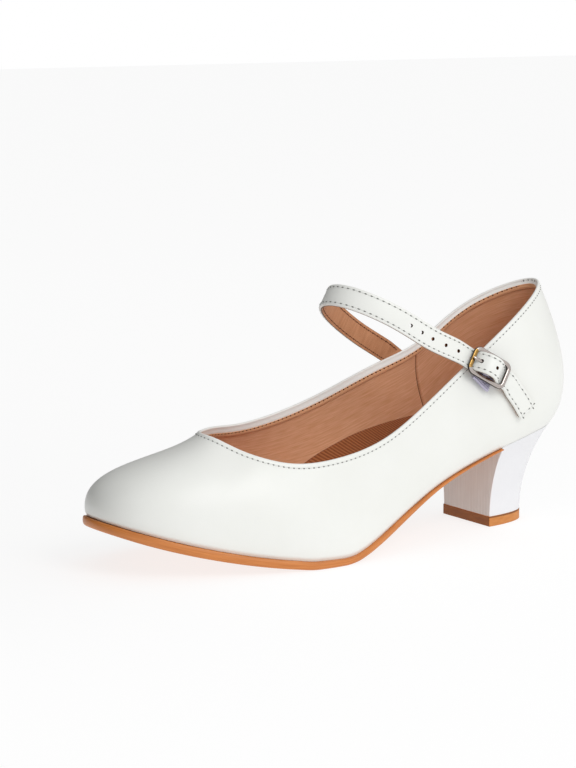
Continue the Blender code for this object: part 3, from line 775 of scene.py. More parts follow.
def settle(piece: bpy.types.Object) -> bpy.types.Object:
    """Turn a piece and its modifiers into one plain mesh."""
    shown = piece.evaluated_get(bpy.context.evaluated_depsgraph_get())
    mesh = bpy.data.meshes.new_from_object(shown)
    piece.modifiers.clear()
    old = piece.data
    piece.data = mesh
    bpy.data.meshes.remove(old)
    mesh.name = piece.name
    return piece


def soften(piece: bpy.types.Object, width: float) -> bpy.types.Object:
    """Round a piece's sharp edges and settle it."""
    edge = piece.modifiers.new("softened edges", "BEVEL")
    edge.width = width
    edge.segments = 3
    edge.limit_method = "ANGLE"
    edge.angle_limit = math.radians(50)
    edge.harden_normals = True
    return settle(piece)


def combine(
    piece: bpy.types.Object, others: Sequence[bpy.types.Object], operation: str, sharp: float
) -> None:
    """Cut or join other objects into a piece.

    Args:
        piece: The piece that is changed.
        others: The objects that it is cut by or joined with.
        operation: The boolean's name.
        sharp: The angle in degrees from which the result's edges are sharp.
    """
    for other in others:
        change = piece.modifiers.new(other.name, "BOOLEAN")
        change.object = other
        change.operation = operation
        change.solver = "EXACT"
        change.material_mode = "TRANSFER"
    settle(piece)
    piece.data.set_sharp_from_angle(angle=math.radians(sharp))


def ring_turns(
    steps: int, dense: Iterable[float] = (), half_width: float = 1.2 * MM, fine: int = 15
) -> np.ndarray:
    """Return turns round the ring, packed closer at the seams.

    Args:
        steps: How many even steps.
        dense: Turns at which a seam stands.
        half_width: How far the close packing reaches to each side.
        fine: How many turns there are in a packed stretch.

    Returns:
        Rising turns in 0 to 1.
    """
    turns = np.arange(steps) / steps
    for middle in dense:
        reach = half_width / TURN_LENGTH
        turns = turns[np.abs(turns - middle) > reach * 1.2]
        turns = np.concatenate([turns, middle + np.linspace(-reach, reach, fine)])
    return np.sort(turns % 1.0)


@dataclass
class Upper:
    """The leather upper with its folded topline, the lining and the binding."""

    steps: int = 420
    fold_width: float = 3.1 * MM
    back_fold: float = 2.1 * MM
    fold_swell: float = 0.22 * MM
    stitch_depth: float = 2.2 * MM
    throat_depth: float = 1.7 * MM
    rim: float = 1.25 * MM
    leather: float = 1.0 * MM
    binding_width: float = 2.9 * MM
    binding_lap: float = 0.15 * MM
    roll_depth: float = 0.75 * MM
    foot_curl: float = 0.55 * MM
    stitch_groove: float = 0.16 * MM
    back_groove: float = 0.14 * MM
    seam_turns: tuple[float, ...] = (0.394, 0.606)
    back_turn: float = 0.5

    def stitch_below(self, turns: np.ndarray) -> np.ndarray:
        """Return how far below the topline the stitches run, closer at the throat."""
        away = np.abs((turns + 0.5) % 1.0 - 0.5)
        return self.stitch_depth - (self.stitch_depth - self.throat_depth) * bump(away, 0.0, 0.05)

    def fold(self, turns: np.ndarray) -> np.ndarray:
        """Return the width of the turned-in white edge, narrower at the back."""
        away = np.abs(turns % 1.0 - self.back_turn)
        return self.fold_width - (self.fold_width - self.back_fold) * ease(away, 0.16, 0.03)

    def binding_stitch(self, turns: np.ndarray) -> np.ndarray:
        """Return how far below the topline the binding is sewn."""
        return self.fold(turns) - self.binding_lap + self.binding_width * 0.13

    def outer_rows(self, turns: np.ndarray, length: np.ndarray) -> tuple[np.ndarray, np.ndarray]:
        """Return the outer skin's rows, from the topline's roll down to the sole.

        Args:
            turns: Each rib's turn.
            length: Each rib's length.

        Returns:
            Distances below the topline and off the wall, a row for each rib.
        """
        near = np.array([0.75, 1.0, 1.3, 1.6, 1.8, 2.0, 2.2, 2.4, 2.6, 2.9, 3.3, 4.0, 5.0, 6.5, 8.5]) * MM
        even = np.linspace(0.0, 1.0, 46)
        shares = ease(even, 0.0, 1.0) * 0.5 + even * 0.5
        rest = near[-1] + (length[:, None] - near[-1]) * shares[None, 1:]
        below = np.hstack([np.broadcast_to(near, (len(length), len(near))), rest])
        off = self.fold_swell * ease(below, 2.9 * MM, 1.5 * MM)
        off = off - self.stitch_groove * bump(below - self.stitch_below(turns)[:, None], 0.0, 0.45 * MM)
        return below, off - self.foot_curl * ease(length[:, None] - below, 1.4 * MM, 0.0)

    def build(self) -> None:
        """Build the leather, the lining and the binding."""
        self.build_leather()
        self.build_lining()
        self.build_binding()

    def build_leather(self) -> None:
        """The white leather: outer skin, rolled edge and the turned-in fold."""
        turns = ring_turns(self.steps, (self.back_turn,))
        length = LAST.rib_length(turns)
        below, off = self.outer_rows(turns, length)
        wall = SIZES.upper_wall
        swell = self.fold_swell
        round_up = np.radians(np.linspace(8.0, 172.0, 11))
        radius = self.rim / 2
        roll_off = swell - radius + radius * np.cos(round_up)
        roll_below = self.roll_depth * (1 - np.sin(round_up))
        spread = np.array([0.06, 0.25, 0.48, 0.72, 0.92, 1.05])
        inner_below = self.roll_depth + (self.fold(turns)[:, None] - self.roll_depth) * spread
        slant = np.array([0.04, 0.2, 0.48, 0.80, 1.0, 0.9])
        inner_off = swell - self.rim + (self.rim - 2 * swell - wall) * slant
        count = len(turns)
        start = inner_below[:, -1:] + 0.05 * MM
        back = start + (length[:, None] - start) * np.linspace(0.0, 1.0, 24)
        # The turned-in edge, from the middle of the roll to its last row inside, takes the paler finish:
        # painted light
        folded = range(below.shape[1] + 6, below.shape[1] + 17)
        below = np.hstack([below[:, ::-1], np.tile(roll_below, (count, 1)), inner_below, back])
        roll_off, inner_off = (np.tile(values, (count, 1)) for values in (roll_off, inner_off))
        off = np.hstack([off[:, ::-1], roll_off, inner_off, np.full(back.shape, -self.leather)])
        seam = bump(turns, self.back_turn, 0.5 * MM / TURN_LENGTH)
        off = off - self.back_groove * seam[:, None] * (off > -0.7 * MM)
        points = LAST.skin(turns, below, off)
        sink = ease(length[:, None] - below, 1.2 * MM, 0.0)
        points[..., 2] -= sink * SIZES.gap
        rows = points.shape[1]
        faces = grid_faces(count, rows, close_rows=True, close_columns=True)
        finish_of = [1 if face[0] % rows in folded else 0 for face in faces]
        finishes = [WHITE_LEATHER, WHITE_FOLD_PAINTED_LIGHT]
        draft = MeshDraft("upper_leather", points, faces, finishes, finish_of, sharp=60.0)
        seat(draft.build(), Slot.LEATHER, "upper")

    def build_lining(self) -> None:
        """The tan lining, with its closed side seams."""
        turns = ring_turns(self.steps, self.seam_turns, 1.5 * MM, 21)
        length = LAST.rib_length(turns)
        top = self.fold(turns)[:, None] + 0.2 * MM
        below = top + (length[:, None] - top) * np.linspace(0.0, 1.0, 40)
        off = np.full(below.shape, -SIZES.upper_wall)
        for seam in self.seam_turns:
            away = (turns - seam) * TURN_LENGTH
            crease = 0.75 * bump(away, 0.0, 0.28 * MM) - 0.22 * bump(away, -0.9 * MM, 0.55 * MM)
            off = off + crease[:, None] * MM
        back = np.maximum(-self.leather - 0.1 * MM, off + 0.05 * MM)
        below = np.hstack([below, below[:, ::-1]])
        points = LAST.skin(turns, below, np.hstack([off, back[:, ::-1]]))
        count, rows = points.shape[:2]
        uv = np.stack([np.broadcast_to(turns[:, None] * TURN_LENGTH, (count, rows)), below], -1)
        faces = grid_faces(count, rows, close_rows=True, close_columns=True)
        # Faces at the seams take the dark crease finish: painted shade
        near = np.min([np.abs(turns - seam) for seam in self.seam_turns], axis=0) * TURN_LENGTH < 0.24 * MM
        finish_of = [1 if near[face[0] // rows] else 0 for face in faces]
        finishes = [PIGSKIN, CREASE_PAINTED_SHADE]
        draft = MeshDraft("quarter_lining", points, faces, finishes, finish_of, uv, 60.0)
        seat(draft.build(), Slot.LINING, "upper")

    def build_binding(self) -> None:
        """The folded strip that covers the lining's upper edge."""
        turns = ring_turns(self.steps)
        # Shares of the strip's width, and millimetres inside the lining
        outside = [(0.0, 0.10), (0.02, 0.40), (0.06, 0.46), (0.13, 0.30), (0.20, 0.52), (0.5, 0.66)]
        outside += [(0.74, 0.66), (0.84, 0.50), (1.0, -0.25)]
        section = np.array(outside + [(0.9, -0.4), (0.1, -0.4)])
        below = self.fold(turns)[:, None] - self.binding_lap + section[None, :, 0] * self.binding_width
        points = LAST.skin(turns, below, -SIZES.upper_wall - section[:, 1] * MM)
        count, rows = points.shape[:2]
        uv = np.stack([np.broadcast_to(turns[:, None] * TURN_LENGTH, (count, rows)), below], -1)
        faces = grid_faces(count, rows, close_rows=True, close_columns=True)
        # The strip's lower edge takes the dark crease finish: painted shade
        lower_edge = len(outside) - 2
        finish_of = [1 if face[0] % rows == lower_edge else 0 for face in faces]
        draft = MeshDraft("topline_binding", points, faces, [BINDING, CREASE_PAINTED_SHADE], finish_of, uv, 60.0)
        seat(draft.build(), Slot.LINING, "upper")


class Outline:
    """The sole's outline at an offset, read against the distance along."""

    def __init__(self, ring: np.ndarray) -> None:
        """Split a ring of points at the toe tip and the back.

        Args:
            ring: Points round the outline, from the toe round the buckle side.
        """
        tip = int(np.argmin(ring[:, 1]))
        ring = np.roll(ring, -tip, axis=0)
        back = int(np.argmax(ring[:, 1]))
        self.outer = ring[: back + 1]
        self.inner = np.vstack([ring[back:], ring[:1]])[::-1]
        self.first = self.outer[0, 1]
        self.last = self.outer[-1, 1]

    def sides(self, along: np.ndarray) -> tuple[np.ndarray, np.ndarray]:
        """Return the across values of the buckle side and the inner side."""
        outer = np.interp(along, self.outer[:, 1], self.outer[:, 0])
        inner = np.interp(along, self.inner[:, 1], self.inner[:, 0])
        return outer, inner


def foot_outline(offset: float) -> Outline:
    """Return the outline of the upper's foot, moved out by the offset."""
    turns = np.arange(1440) / 1440
    return Outline(LAST.foot(turns) + LAST.outward(turns, "foot") * offset)


@dataclass
class Outsole:
    """The leather outsole from the toe to the heel breast, with a rounded edge."""

    stations: int = 220
    full_edge: float = 2.2 * MM

    def edge(self) -> list[tuple[float, float, float]]:
        """Return the edge's profile: offset, share of the depth and extra height."""
        ledge = SIZES.sole_ledge
        return [
            (ledge - 0.95 * MM, 0.0, 0.0),
            (ledge - 0.34 * MM, 0.0, 0.16 * MM),
            (ledge - 0.02 * MM, 0.0, 0.60 * MM),
            (ledge + 0.06 * MM, 0.5, 0.0),
            (ledge - 0.02 * MM, 1.0, -0.55 * MM),
            (ledge - 0.30 * MM, 1.0, -0.16 * MM),
            (ledge - 0.75 * MM, 1.0, 0.0),
        ]

    def build(self) -> None:
        """Loft the sole through its stations."""
        end = SIZES.heel_breast - SIZES.gap
        spread = np.linspace(0.0, 1.0, self.stations + 1)
        spread = np.where(spread < 0.5, 2 * spread**2, 2 * spread - 0.5) / 1.5
        shares = np.linspace(0.0, 1.0, 9)
        outer_side = []
        inner_side = []
        for offset, share, extra in self.edge():
            outline = foot_outline(offset)
            along = outline.first + (end - outline.first) * spread
            outer, inner = outline.sides(along)
            lift = LAST.waist_lift(along)
            height = LAST.sole_bottom(along) + lift + (LAST.sole_depth(along) - lift) * share
            height = height + extra * self.taper(along)
            outer_side.append(np.stack([outer, along, height], -1))
            inner_side.append(np.stack([inner, along, height], -1))
        low = [inner_side[0] + (outer_side[0] - inner_side[0]) * share for share in shares[1:-1]]
        high = [outer_side[-1] + (inner_side[-1] - outer_side[-1]) * share for share in shares[1:-1]]
        points = np.stack(low + outer_side + high + inner_side[::-1], 1)
        shape = points.shape[:2]
        run = path_length(points[:, len(low)])
        lift = points[..., 2] - LAST.sole_bottom(points[..., 1])
        uv = np.stack([np.broadcast_to(run[:, None], shape), lift], -1)
        draft = MeshDraft("outsole_leather", points, capped_faces(*shape), [SOLE_LEATHER], None, uv, 50.0)
        seat(draft.build(), Slot.SOLE, "outsole")

    def taper(self, along: np.ndarray) -> np.ndarray:
        """Return how much of the edge's rounding is kept where the sole thins."""
        thin = np.clip((LAST.sole_depth(along) - LAST.waist_lift(along)) / self.full_edge, 0.2, 1.0)
        return thin * (1 + 0.9 * ease(along, 14 * MM, 2 * MM))


@dataclass
class Insole:
    """The sock over the insole board and the corded arch pad on it."""

    stations: int = 150
    pad_from: float = 98.0 * MM
    pad_to: float = 225.0 * MM
    pad_thickness: float = 1.6 * MM
    sock_thickness: float = 1.0 * MM
    sock_dish: float = 0.5 * MM
    pad_front_bow: float = 6.0 * MM
    pad_skirt: float = 0.9 * MM
    cord_lie: float = math.radians(35.0)

    def seat_outline(self, lift: float, inset: float) -> Outline:
        """Return the lining's outline a lift above the sole."""
        turns = np.arange(1440) / 1440
        length = LAST.rib_length(turns)
        off = np.full((len(turns), 1), -SIZES.upper_wall - inset)
        return Outline(LAST.skin(turns, (length - lift)[:, None], off)[:, 0])

    def top(self, along: np.ndarray) -> np.ndarray:
        """Return the height of the sock's upper face."""
        return LAST.sole_top(along) + SIZES.gap + SIZES.insole_thickness

    def build(self) -> None:
        """Build the sock and the pad."""
        self.build_sock()
        self.build_pad()

    def build_sock(self) -> None:
        """The sock: a slab that meets the lining all round, dished a little."""
        outline = self.seat_outline(SIZES.insole_thickness, 0.05 * MM)
        spread = (1 - np.cos(np.linspace(0.0, math.pi, self.stations + 1))) / 2
        along = outline.first + (outline.last - outline.first) * spread
        outer, inner = outline.sides(along)
        shares = (1 - np.cos(np.linspace(0.0, math.pi, 17))) / 2
        across = inner[:, None] + (outer - inner)[:, None] * shares
        grid = np.broadcast_to(along[:, None], across.shape)
        level = np.broadcast_to(self.top(along)[:, None], across.shape)
        upper = np.stack([across, grid, level + self.sock_dish * (2 * shares - 1) ** 6], -1)
        lower = np.stack([across, grid, level - self.sock_thickness], -1)
        points = np.concatenate([upper, lower[:, ::-1]], 1)
        faces = capped_faces(*points.shape[:2])
        draft = MeshDraft("sock_leather", points, faces, [PIGSKIN], None, points[..., [1, 0]], 50.0)
        seat(draft.build(), Slot.LINING, "insole")

    def wing(self, along: np.ndarray) -> np.ndarray:
        """Return how high the pad climbs the inner side, above the sock."""
        knots = np.array([98.0, 104.0, 110.0, 118.0, 128.0, 140.0, 152.0, 165.0, 180.0, 200.0, 225.0]) * MM
        rises = np.array([2.0, 9.5, 14.5, 17.0, 18.0, 17.4, 15.2, 12.0, 8.0, 3.5, 1.0]) * MM
        return steady(knots, rises)(along)

    def build_pad(self) -> None:
        """The corded pad: a heel seat whose inner side climbs the arch."""
        outline = self.seat_outline(SIZES.insole_thickness + 2 * MM, 0.2 * MM)
        along = np.linspace(self.pad_from, self.pad_to, 181)
        shares = np.concatenate([np.linspace(0.0, 0.6, 22), np.linspace(0.6, 1.0, 26)[1:]])
        outer, inner = outline.sides(np.minimum(along, outline.last - 1.0 * MM))
        base = self.top(along)
        rise = self.wing(along)
        reach = self.inner_wall(along, base + rise)
        bow = self.pad_front_bow * (1 - (2 * shares - 1) ** 2)
        back_ease = ease(along, self.pad_to, self.pad_to - 3 * MM)
        climb = np.clip((shares - 0.5) / 0.5, 0.0, 1.0) ** 2.1
        level = outer[:, None] + (inner - outer)[:, None] * shares
        climbed = outer[:, None] + (reach - outer)[:, None] * shares
        across = level + (climbed - level) * climb
        edge = ease(shares, 0.0, 0.06) * ease(shares, 1.0, 0.985)
        under = base[:, None] + rise[:, None] * climb
        height = under + self.pad_thickness * edge * back_ease[:, None]
        grid = along[:, None] - bow * ease(along, self.pad_from + 25 * MM, self.pad_from)[:, None]
        top = np.stack([across, grid, height], -1)
        low = np.stack([across, grid, under - self.pad_skirt], -1)
        points = np.concatenate([top, low[:, ::-1]], 1)
        # The cords lie askew, so the pattern's axes are turned
        lie = self.cord_lie
        run = points[..., 1] * math.cos(lie) - points[..., 0] * math.sin(lie)
        uv = np.stack([run, points[..., 0]], -1)
        faces = capped_faces(*points.shape[:2])
        draft = MeshDraft("corded_arch_pad", points, faces, [RIBBED_PAD], None, uv, 70.0)
        seat(draft.build(), Slot.LINING)

    def inner_wall(self, along: np.ndarray, height: np.ndarray) -> np.ndarray:
        """Return where the lining stands on the inner side at each height.

        Args:
            along: Distances along the shoe.
            height: The height to read at each of them.

        Returns:
            Across values just inside the lining.
        """
        turns = np.linspace(0.92, 0.50, 400)
        rises = np.linspace(0.0, 1.0, 60)
        found = []
        for rise in rises:
            level = np.full(len(turns), rise)
            off = LAST.normal(turns, level) * (SIZES.upper_wall + 0.15 * MM)
            ring = LAST.wall(turns, level) - off
            found.append([np.interp(along, ring[:, 1], ring[:, axis]) for axis in (0, 2)])
        across, heights = np.array(found).transpose(1, 2, 0)
        return np.array([np.interp(at, *pair) for at, *pair in zip(height, heights, across)])


def heel_outline(width: float, length: float, front: float, steps: int) -> tuple[np.ndarray, np.ndarray]:
    """Return one side of a D-shaped heel outline, from its breast corner to the back.

    Args:
        width: The width at the breast.
        length: From the breast to the back.
        front: Where the breast stands along the shoe.
        steps: How many points.

    Returns:
        Across and along values.
    """
    turns = np.linspace(0.0, math.pi / 2, steps)
    across = width / 2 * np.cos(turns) ** 0.62
    along = front + length * np.sin(turns) ** 1.25
    return across, along


@dataclass
class Heel:
    """The covered heel block, the flap over its breast and the top piece."""

    side_points: int = 44
    steps: int = 40
    block_lap: float = 0.48 * MM
    block_edge: float = 0.35 * MM
    top_piece_edge: float = 0.3 * MM

    def section(self, rise: float) -> tuple[np.ndarray, np.ndarray, np.ndarray, np.ndarray]:
        """Return the D section at a share of the height.

        Args:
            rise: From 0 at the top piece to 1 under the seat.

        Returns:
            Buckle-side across, inner-side across, along and height values.
        """
        outline = foot_outline(0.0)
        breast = SIZES.heel_breast
        low_across, low_along = heel_outline(SIZES.tip_width, SIZES.tip_length, breast, self.side_points)
        share = (low_along - breast) / SIZES.tip_length
        high_along = breast + (outline.last - breast) * share
        high_outer, high_inner = outline.sides(high_along)
        high_height = LAST.sole_top(high_along) + self.block_lap
        floor = SIZES.tip_thickness
        flare = rise**2.0
        along = low_along + (high_along - low_along) * flare
        height = floor + (high_height - floor) * rise
        outer = low_across + (high_outer - low_across) * flare
        inner = -low_across + (high_inner + low_across) * flare
        return outer, inner, along, height

    def build(self) -> None:
        """Build the block, the breast flap and the top piece."""
        self.build_block()
        self.build_breast()
        self.build_top_piece()

    def build_block(self) -> None:
        """The wrapped block, with its edges softened."""
        rings = []
        for step in range(self.steps + 1):
            outer, inner, along, height = self.section(step / self.steps)
            right = np.stack([outer, along, height], -1)
            left = np.stack([inner, along, height], -1)[::-1][1:]
            rings.append(np.vstack([right, left]))
        points = np.array(rings)
        count, rows = points.shape[:2]
        faces = grid_faces(count, rows, close_columns=True)
        # The ends bend with the seat, so they are quads from side to side
        for base in (0, (count - 1) * rows):
            for j in range(self.side_points - 1):
                k = rows - 1 - j
                face = [base + j, base + j + 1, base + k - 1, base + k]
                faces.append(tuple(dict.fromkeys(face)))
        block = MeshDraft("heel_block", points, faces, [HEEL_WRAP], sharp=50.0).build()
        seat(soften(block, self.block_edge), Slot.HEEL, "heel")

    def build_breast(self) -> None:
        """The flap over the breast, drawn tight so that it puckers finely."""
        shares = np.linspace(-1.0, 1.0, 90)
        breast = SIZES.heel_breast
        ceiling = LAST.sole_bottom(breast) + LAST.waist_lift(breast) + 0.2 * MM
        rows = []
        for rise in np.linspace(0.0, 1.0, 60):
            outer, inner, along, _ = self.section(float(rise))
            half = (outer[0] - inner[0]) / 2 - self.block_edge
            across = (outer[0] + inner[0]) / 2 + half * shares
            pucker = 0.05 * np.sin(across / MM * 3.1 + 0.7 * np.sin(rise * 5))
            pucker = pucker + 0.04 * np.sin(across / MM * 7.3)
            depth = 0.12 * MM + pucker * MM * (1 - 0.4 * rise)
            depth = depth * (1 - shares**10)
            level = SIZES.tip_thickness + (ceiling - SIZES.tip_thickness) * rise
            rows.append(np.stack([across, along[0] - depth, np.full(len(shares), level)], -1))
        front = np.array(rows)
        back = front.copy()
        back[..., 1] = breast + 0.4 * MM
        points = np.concatenate([front, back[:, ::-1]], 1)
        faces = capped_faces(*points.shape[:2])
        # The flap's grey colour is painted shade on the white wrap
        draft = MeshDraft("breast_flap", points, faces, [BREAST_FLAP_PAINTED_SHADE], sharp=60.0)
        seat(draft.build(), Slot.HEEL, "heel")

    def build_top_piece(self) -> None:
        """The top piece, a D-shaped slab with softened edges."""
        ledge = SIZES.tip_ledge
        across, along = heel_outline(
            SIZES.tip_width + 2 * ledge, SIZES.tip_length + ledge, SIZES.heel_breast - ledge, self.side_points
        )
        ring = np.vstack([np.stack([across, along], -1), np.stack([-across, along], -1)[::-1][1:]])
        levels = np.linspace(0.0, SIZES.tip_thickness, 7)
        points = np.array([[(x, y, z) for x, y in ring] for z in levels])
        count, rows = points.shape[:2]
        faces = capped_faces(count, rows)
        front = SIZES.heel_breast - ledge + 0.05 * MM
        # The front face and the top row against the block are drawn darker: painted shade
        shaded_faces = []
        for face in faces:
            corners = [divmod(corner, rows) for corner in face]
            upper = len(face) == 4 and min(level for level, _ in corners) == count - 2
            forward = len(face) == 4 and all(ring[place][1] < front for _, place in corners)
            shaded_faces.append(1 if upper or forward else 0)
        finishes = [TOP_PIECE, TOP_PIECE_PAINTED_SHADE]
        slab = MeshDraft("top_piece", points, faces, finishes, shaded_faces, sharp=50.0).build()
        seat(soften(slab, self.top_piece_edge), Slot.SOLE, "heel_tip")


class Hardware:
    """The buckle's place on the quarter and its own directions."""

    length = 19.0 * MM
    width = 12.6 * MM
    wire = 1.7 * MM
    corner = 2.4 * MM
    standoff = 4.6 * MM
    prong_wire = 1.2 * MM
    strap_width = 9.0 * MM
    strap_thickness = 1.7 * MM
    elastic_width = 7.6 * MM
    elastic_thickness = 1.0 * MM
    elastic_tail = 8.5 * MM
    spot = Spot(0.395, 0.845)
    slope = math.radians(35.0)

    def __init__(self) -> None:
        """Work out the directions along, across and out of the buckle."""
        spot = [np.array([value]) for value in self.spot]
        self.out = LAST.normal(*spot)[0]
        run = np.array([0.0, math.cos(self.slope), -math.sin(self.slope)])
        self.run = unit(run - self.out * (run @ self.out))
        self.side = np.cross(self.out, self.run)
        self.centre = LAST.wall(*spot)[0] + self.out * self.standoff
        self.end_bar = (self.length - self.wire) / 2
        self.side_bar = (self.width - self.wire) / 2
        bar = self.wire / 2
        self.under = -(bar + SIZES.gap + self.strap_thickness / 2)
        self.over = bar + self.elastic_thickness + 2 * SIZES.gap + self.strap_thickness / 2
        self.prong_lift = bar + SIZES.gap + self.prong_wire / 2

    def at(self, run: float, side: float, out: float) -> np.ndarray:
        """Return a point from its distances along, across and out of the buckle."""
        return self.centre + self.run * run + self.side * side + self.out * out


HARDWARE = Hardware()


def sheet_on_wall(start: Spot, end: Spot, standoff: float, steps: int) -> tuple[np.ndarray, np.ndarray]:
    """Return points a standoff outside the wall between two spots.

    Args:
        start: The first spot.
        end: The last spot.
        standoff: The distance outside the wall.
        steps: How many points.

    Returns:
        The points and the wall's normals there.
    """
    shares = np.linspace(0.0, 1.0, steps)
    turns = start.turn + (end.turn - start.turn) * shares
    rises = start.rise + (end.rise - start.rise) * shares
    normals = LAST.normal(turns, rises)
    return LAST.wall(turns, rises) + normals * standoff, normals


class StrapRoute:
    """The strap's middle line from its sewn end, round the loop and through the buckle."""

    reach = 60.0 * MM
    loop_slope = math.radians(31.0)
    fullness = 0.85
    sewn_end = Spot(0.606, 0.70)
    sewn_top = Spot(0.628, 0.96)
    sag = 1.5 * MM
    sag_shares = (0.1, 0.45, 1.0)
    tail_top = Spot(0.411, 0.560)
    tail_end = Spot(0.418, 0.300)

    def __init__(self) -> None:
        """Lay the route's points and fit curves to them."""
        gap = SIZES.gap
        half = HARDWARE.strap_thickness / 2
        wire = HARDWARE.wire
        slope = self.loop_slope
        forward = np.array([0.0, -math.cos(slope), math.sin(slope)])
        loop_side = np.array([0.0, math.sin(slope), math.cos(slope)])
        sewn, sewn_out = sheet_on_wall(self.sewn_end, self.sewn_top, gap + half, 4)
        sewn_side = np.cross(sewn_out, unit(sewn[-1] - sewn[0]))
        bar = HARDWARE.end_bar
        under = HARDWARE.under
        # Under the end bar, over the middle bar and under the other end bar: run and out
        stations = [(-bar - wire, under), (-bar + wire / 3, under), (-bar + wire * 1.15, under * 0.3)]
        stations += [(-bar + wire * 2.15, HARDWARE.prong_lift - gap / 2)]
        stations += [(-wire * 1.3, HARDWARE.over + gap), (wire * 1.3, HARDWARE.over + gap)]
        stations += [(bar - wire / 3, under), (bar + wire, under - gap)]
        weave = np.array([HARDWARE.at(run, 0.0, out) for run, out in stations])
        start = sewn[-1]
        end = weave[0]
        turns = np.linspace(0.0, math.pi, 12)[1:-1, None]
        between = (1 - np.cos(turns)) / 2
        reach = self.reach * np.sin(turns) ** self.fullness
        loop = start + (end - start) * between + forward * reach
        loop[-len(self.sag_shares) :, 2] -= self.sag * np.array(self.sag_shares)
        tail, tail_out = sheet_on_wall(self.tail_top, self.tail_end, 2 * gap + half, 4)
        tail_side = np.cross(tail_out, unit(tail[-1] - tail[0]))
        points = np.vstack([sewn, loop, weave, tail])
        loop_sides = np.tile(loop_side, (len(loop), 1))
        weave_sides = np.tile(HARDWARE.side, (len(weave), 1))
        sides = np.vstack([sewn_side, loop_sides, weave_sides, tail_side])
        knots = path_length(points)
        self.middle = [spline(knots, points[:, axis]) for axis in range(3)]
        self.side = [spline(knots, sides[:, axis]) for axis in range(3)]
        self.length = knots[-1]
        self.loop_from = knots[len(sewn) - 1]
        self.buckle_from = knots[len(sewn) + len(loop)]
        first = knots[len(sewn) + len(loop) + 1]
        crossing = np.linspace(first, first + HARDWARE.end_bar, 200)
        middle = np.stack([curve(crossing) for curve in self.middle], -1)
        lift = (middle - HARDWARE.centre) @ HARDWARE.out
        self.prong_at = crossing[np.argmax(lift > HARDWARE.prong_lift)]

    def frame(self, at: np.ndarray) -> tuple[np.ndarray, np.ndarray, np.ndarray]:
        """Return the middle, side and outward directions at distances along the route.

        Args:
            at: Distances from the sewn end.

        Returns:
            Three arrays of vectors.
        """
        at = np.atleast_1d(np.asarray(at, float))
        nudge = 0.2 * MM
        middle, ahead, behind = (
            np.stack([curve(at + step) for curve in self.middle], -1) for step in (0.0, nudge, -nudge)
        )
        run = unit(ahead - behind)
        side = np.stack([curve(at) for curve in self.side], -1)
        side = unit(side - run * np.sum(side * run, axis=-1, keepdims=True))
        return middle, side, np.cross(run, side)


ROUTE = StrapRoute()


def sweep(
    middle: np.ndarray, side: np.ndarray, out: np.ndarray, section: np.ndarray, closed: bool = False
) -> tuple[np.ndarray, list[tuple]]:
    """Carry a closed section along a path.

    Args:
        middle: The path's points.
        side: The direction of the section's first number at each point.
        out: The direction of its second number.
        section: Pairs of numbers, or one such list for each point.
        closed: Whether the path is a ring.

    Returns:
        Points and faces.
    """
    section = np.asarray(section, float)
    if section.ndim == 2:
        section = np.broadcast_to(section, (len(middle), *section.shape))
    points = middle[:, None] + side[:, None] * section[..., :1] + out[:, None] * section[..., 1:]
    shape = points.shape[:2]
    faces = grid_faces(*shape, close_rows=True, close_columns=True) if closed else capped_faces(*shape)
    return points, faces


def rounded_section(width: float, thickness: float, radius: float, steps: int = 4) -> np.ndarray:
    """Return a rounded rectangle as pairs across and out."""
    points = []
    for number, (u, v) in enumerate(CORNERS):
        for step in range(steps + 1):
            angle = math.pi / 2 * (number + step / steps)
            x = u * (width / 2 - radius) + radius * math.cos(angle)
            y = v * (thickness / 2 - radius) + radius * math.sin(angle)
            points.append((x, y))
    return np.array(points)


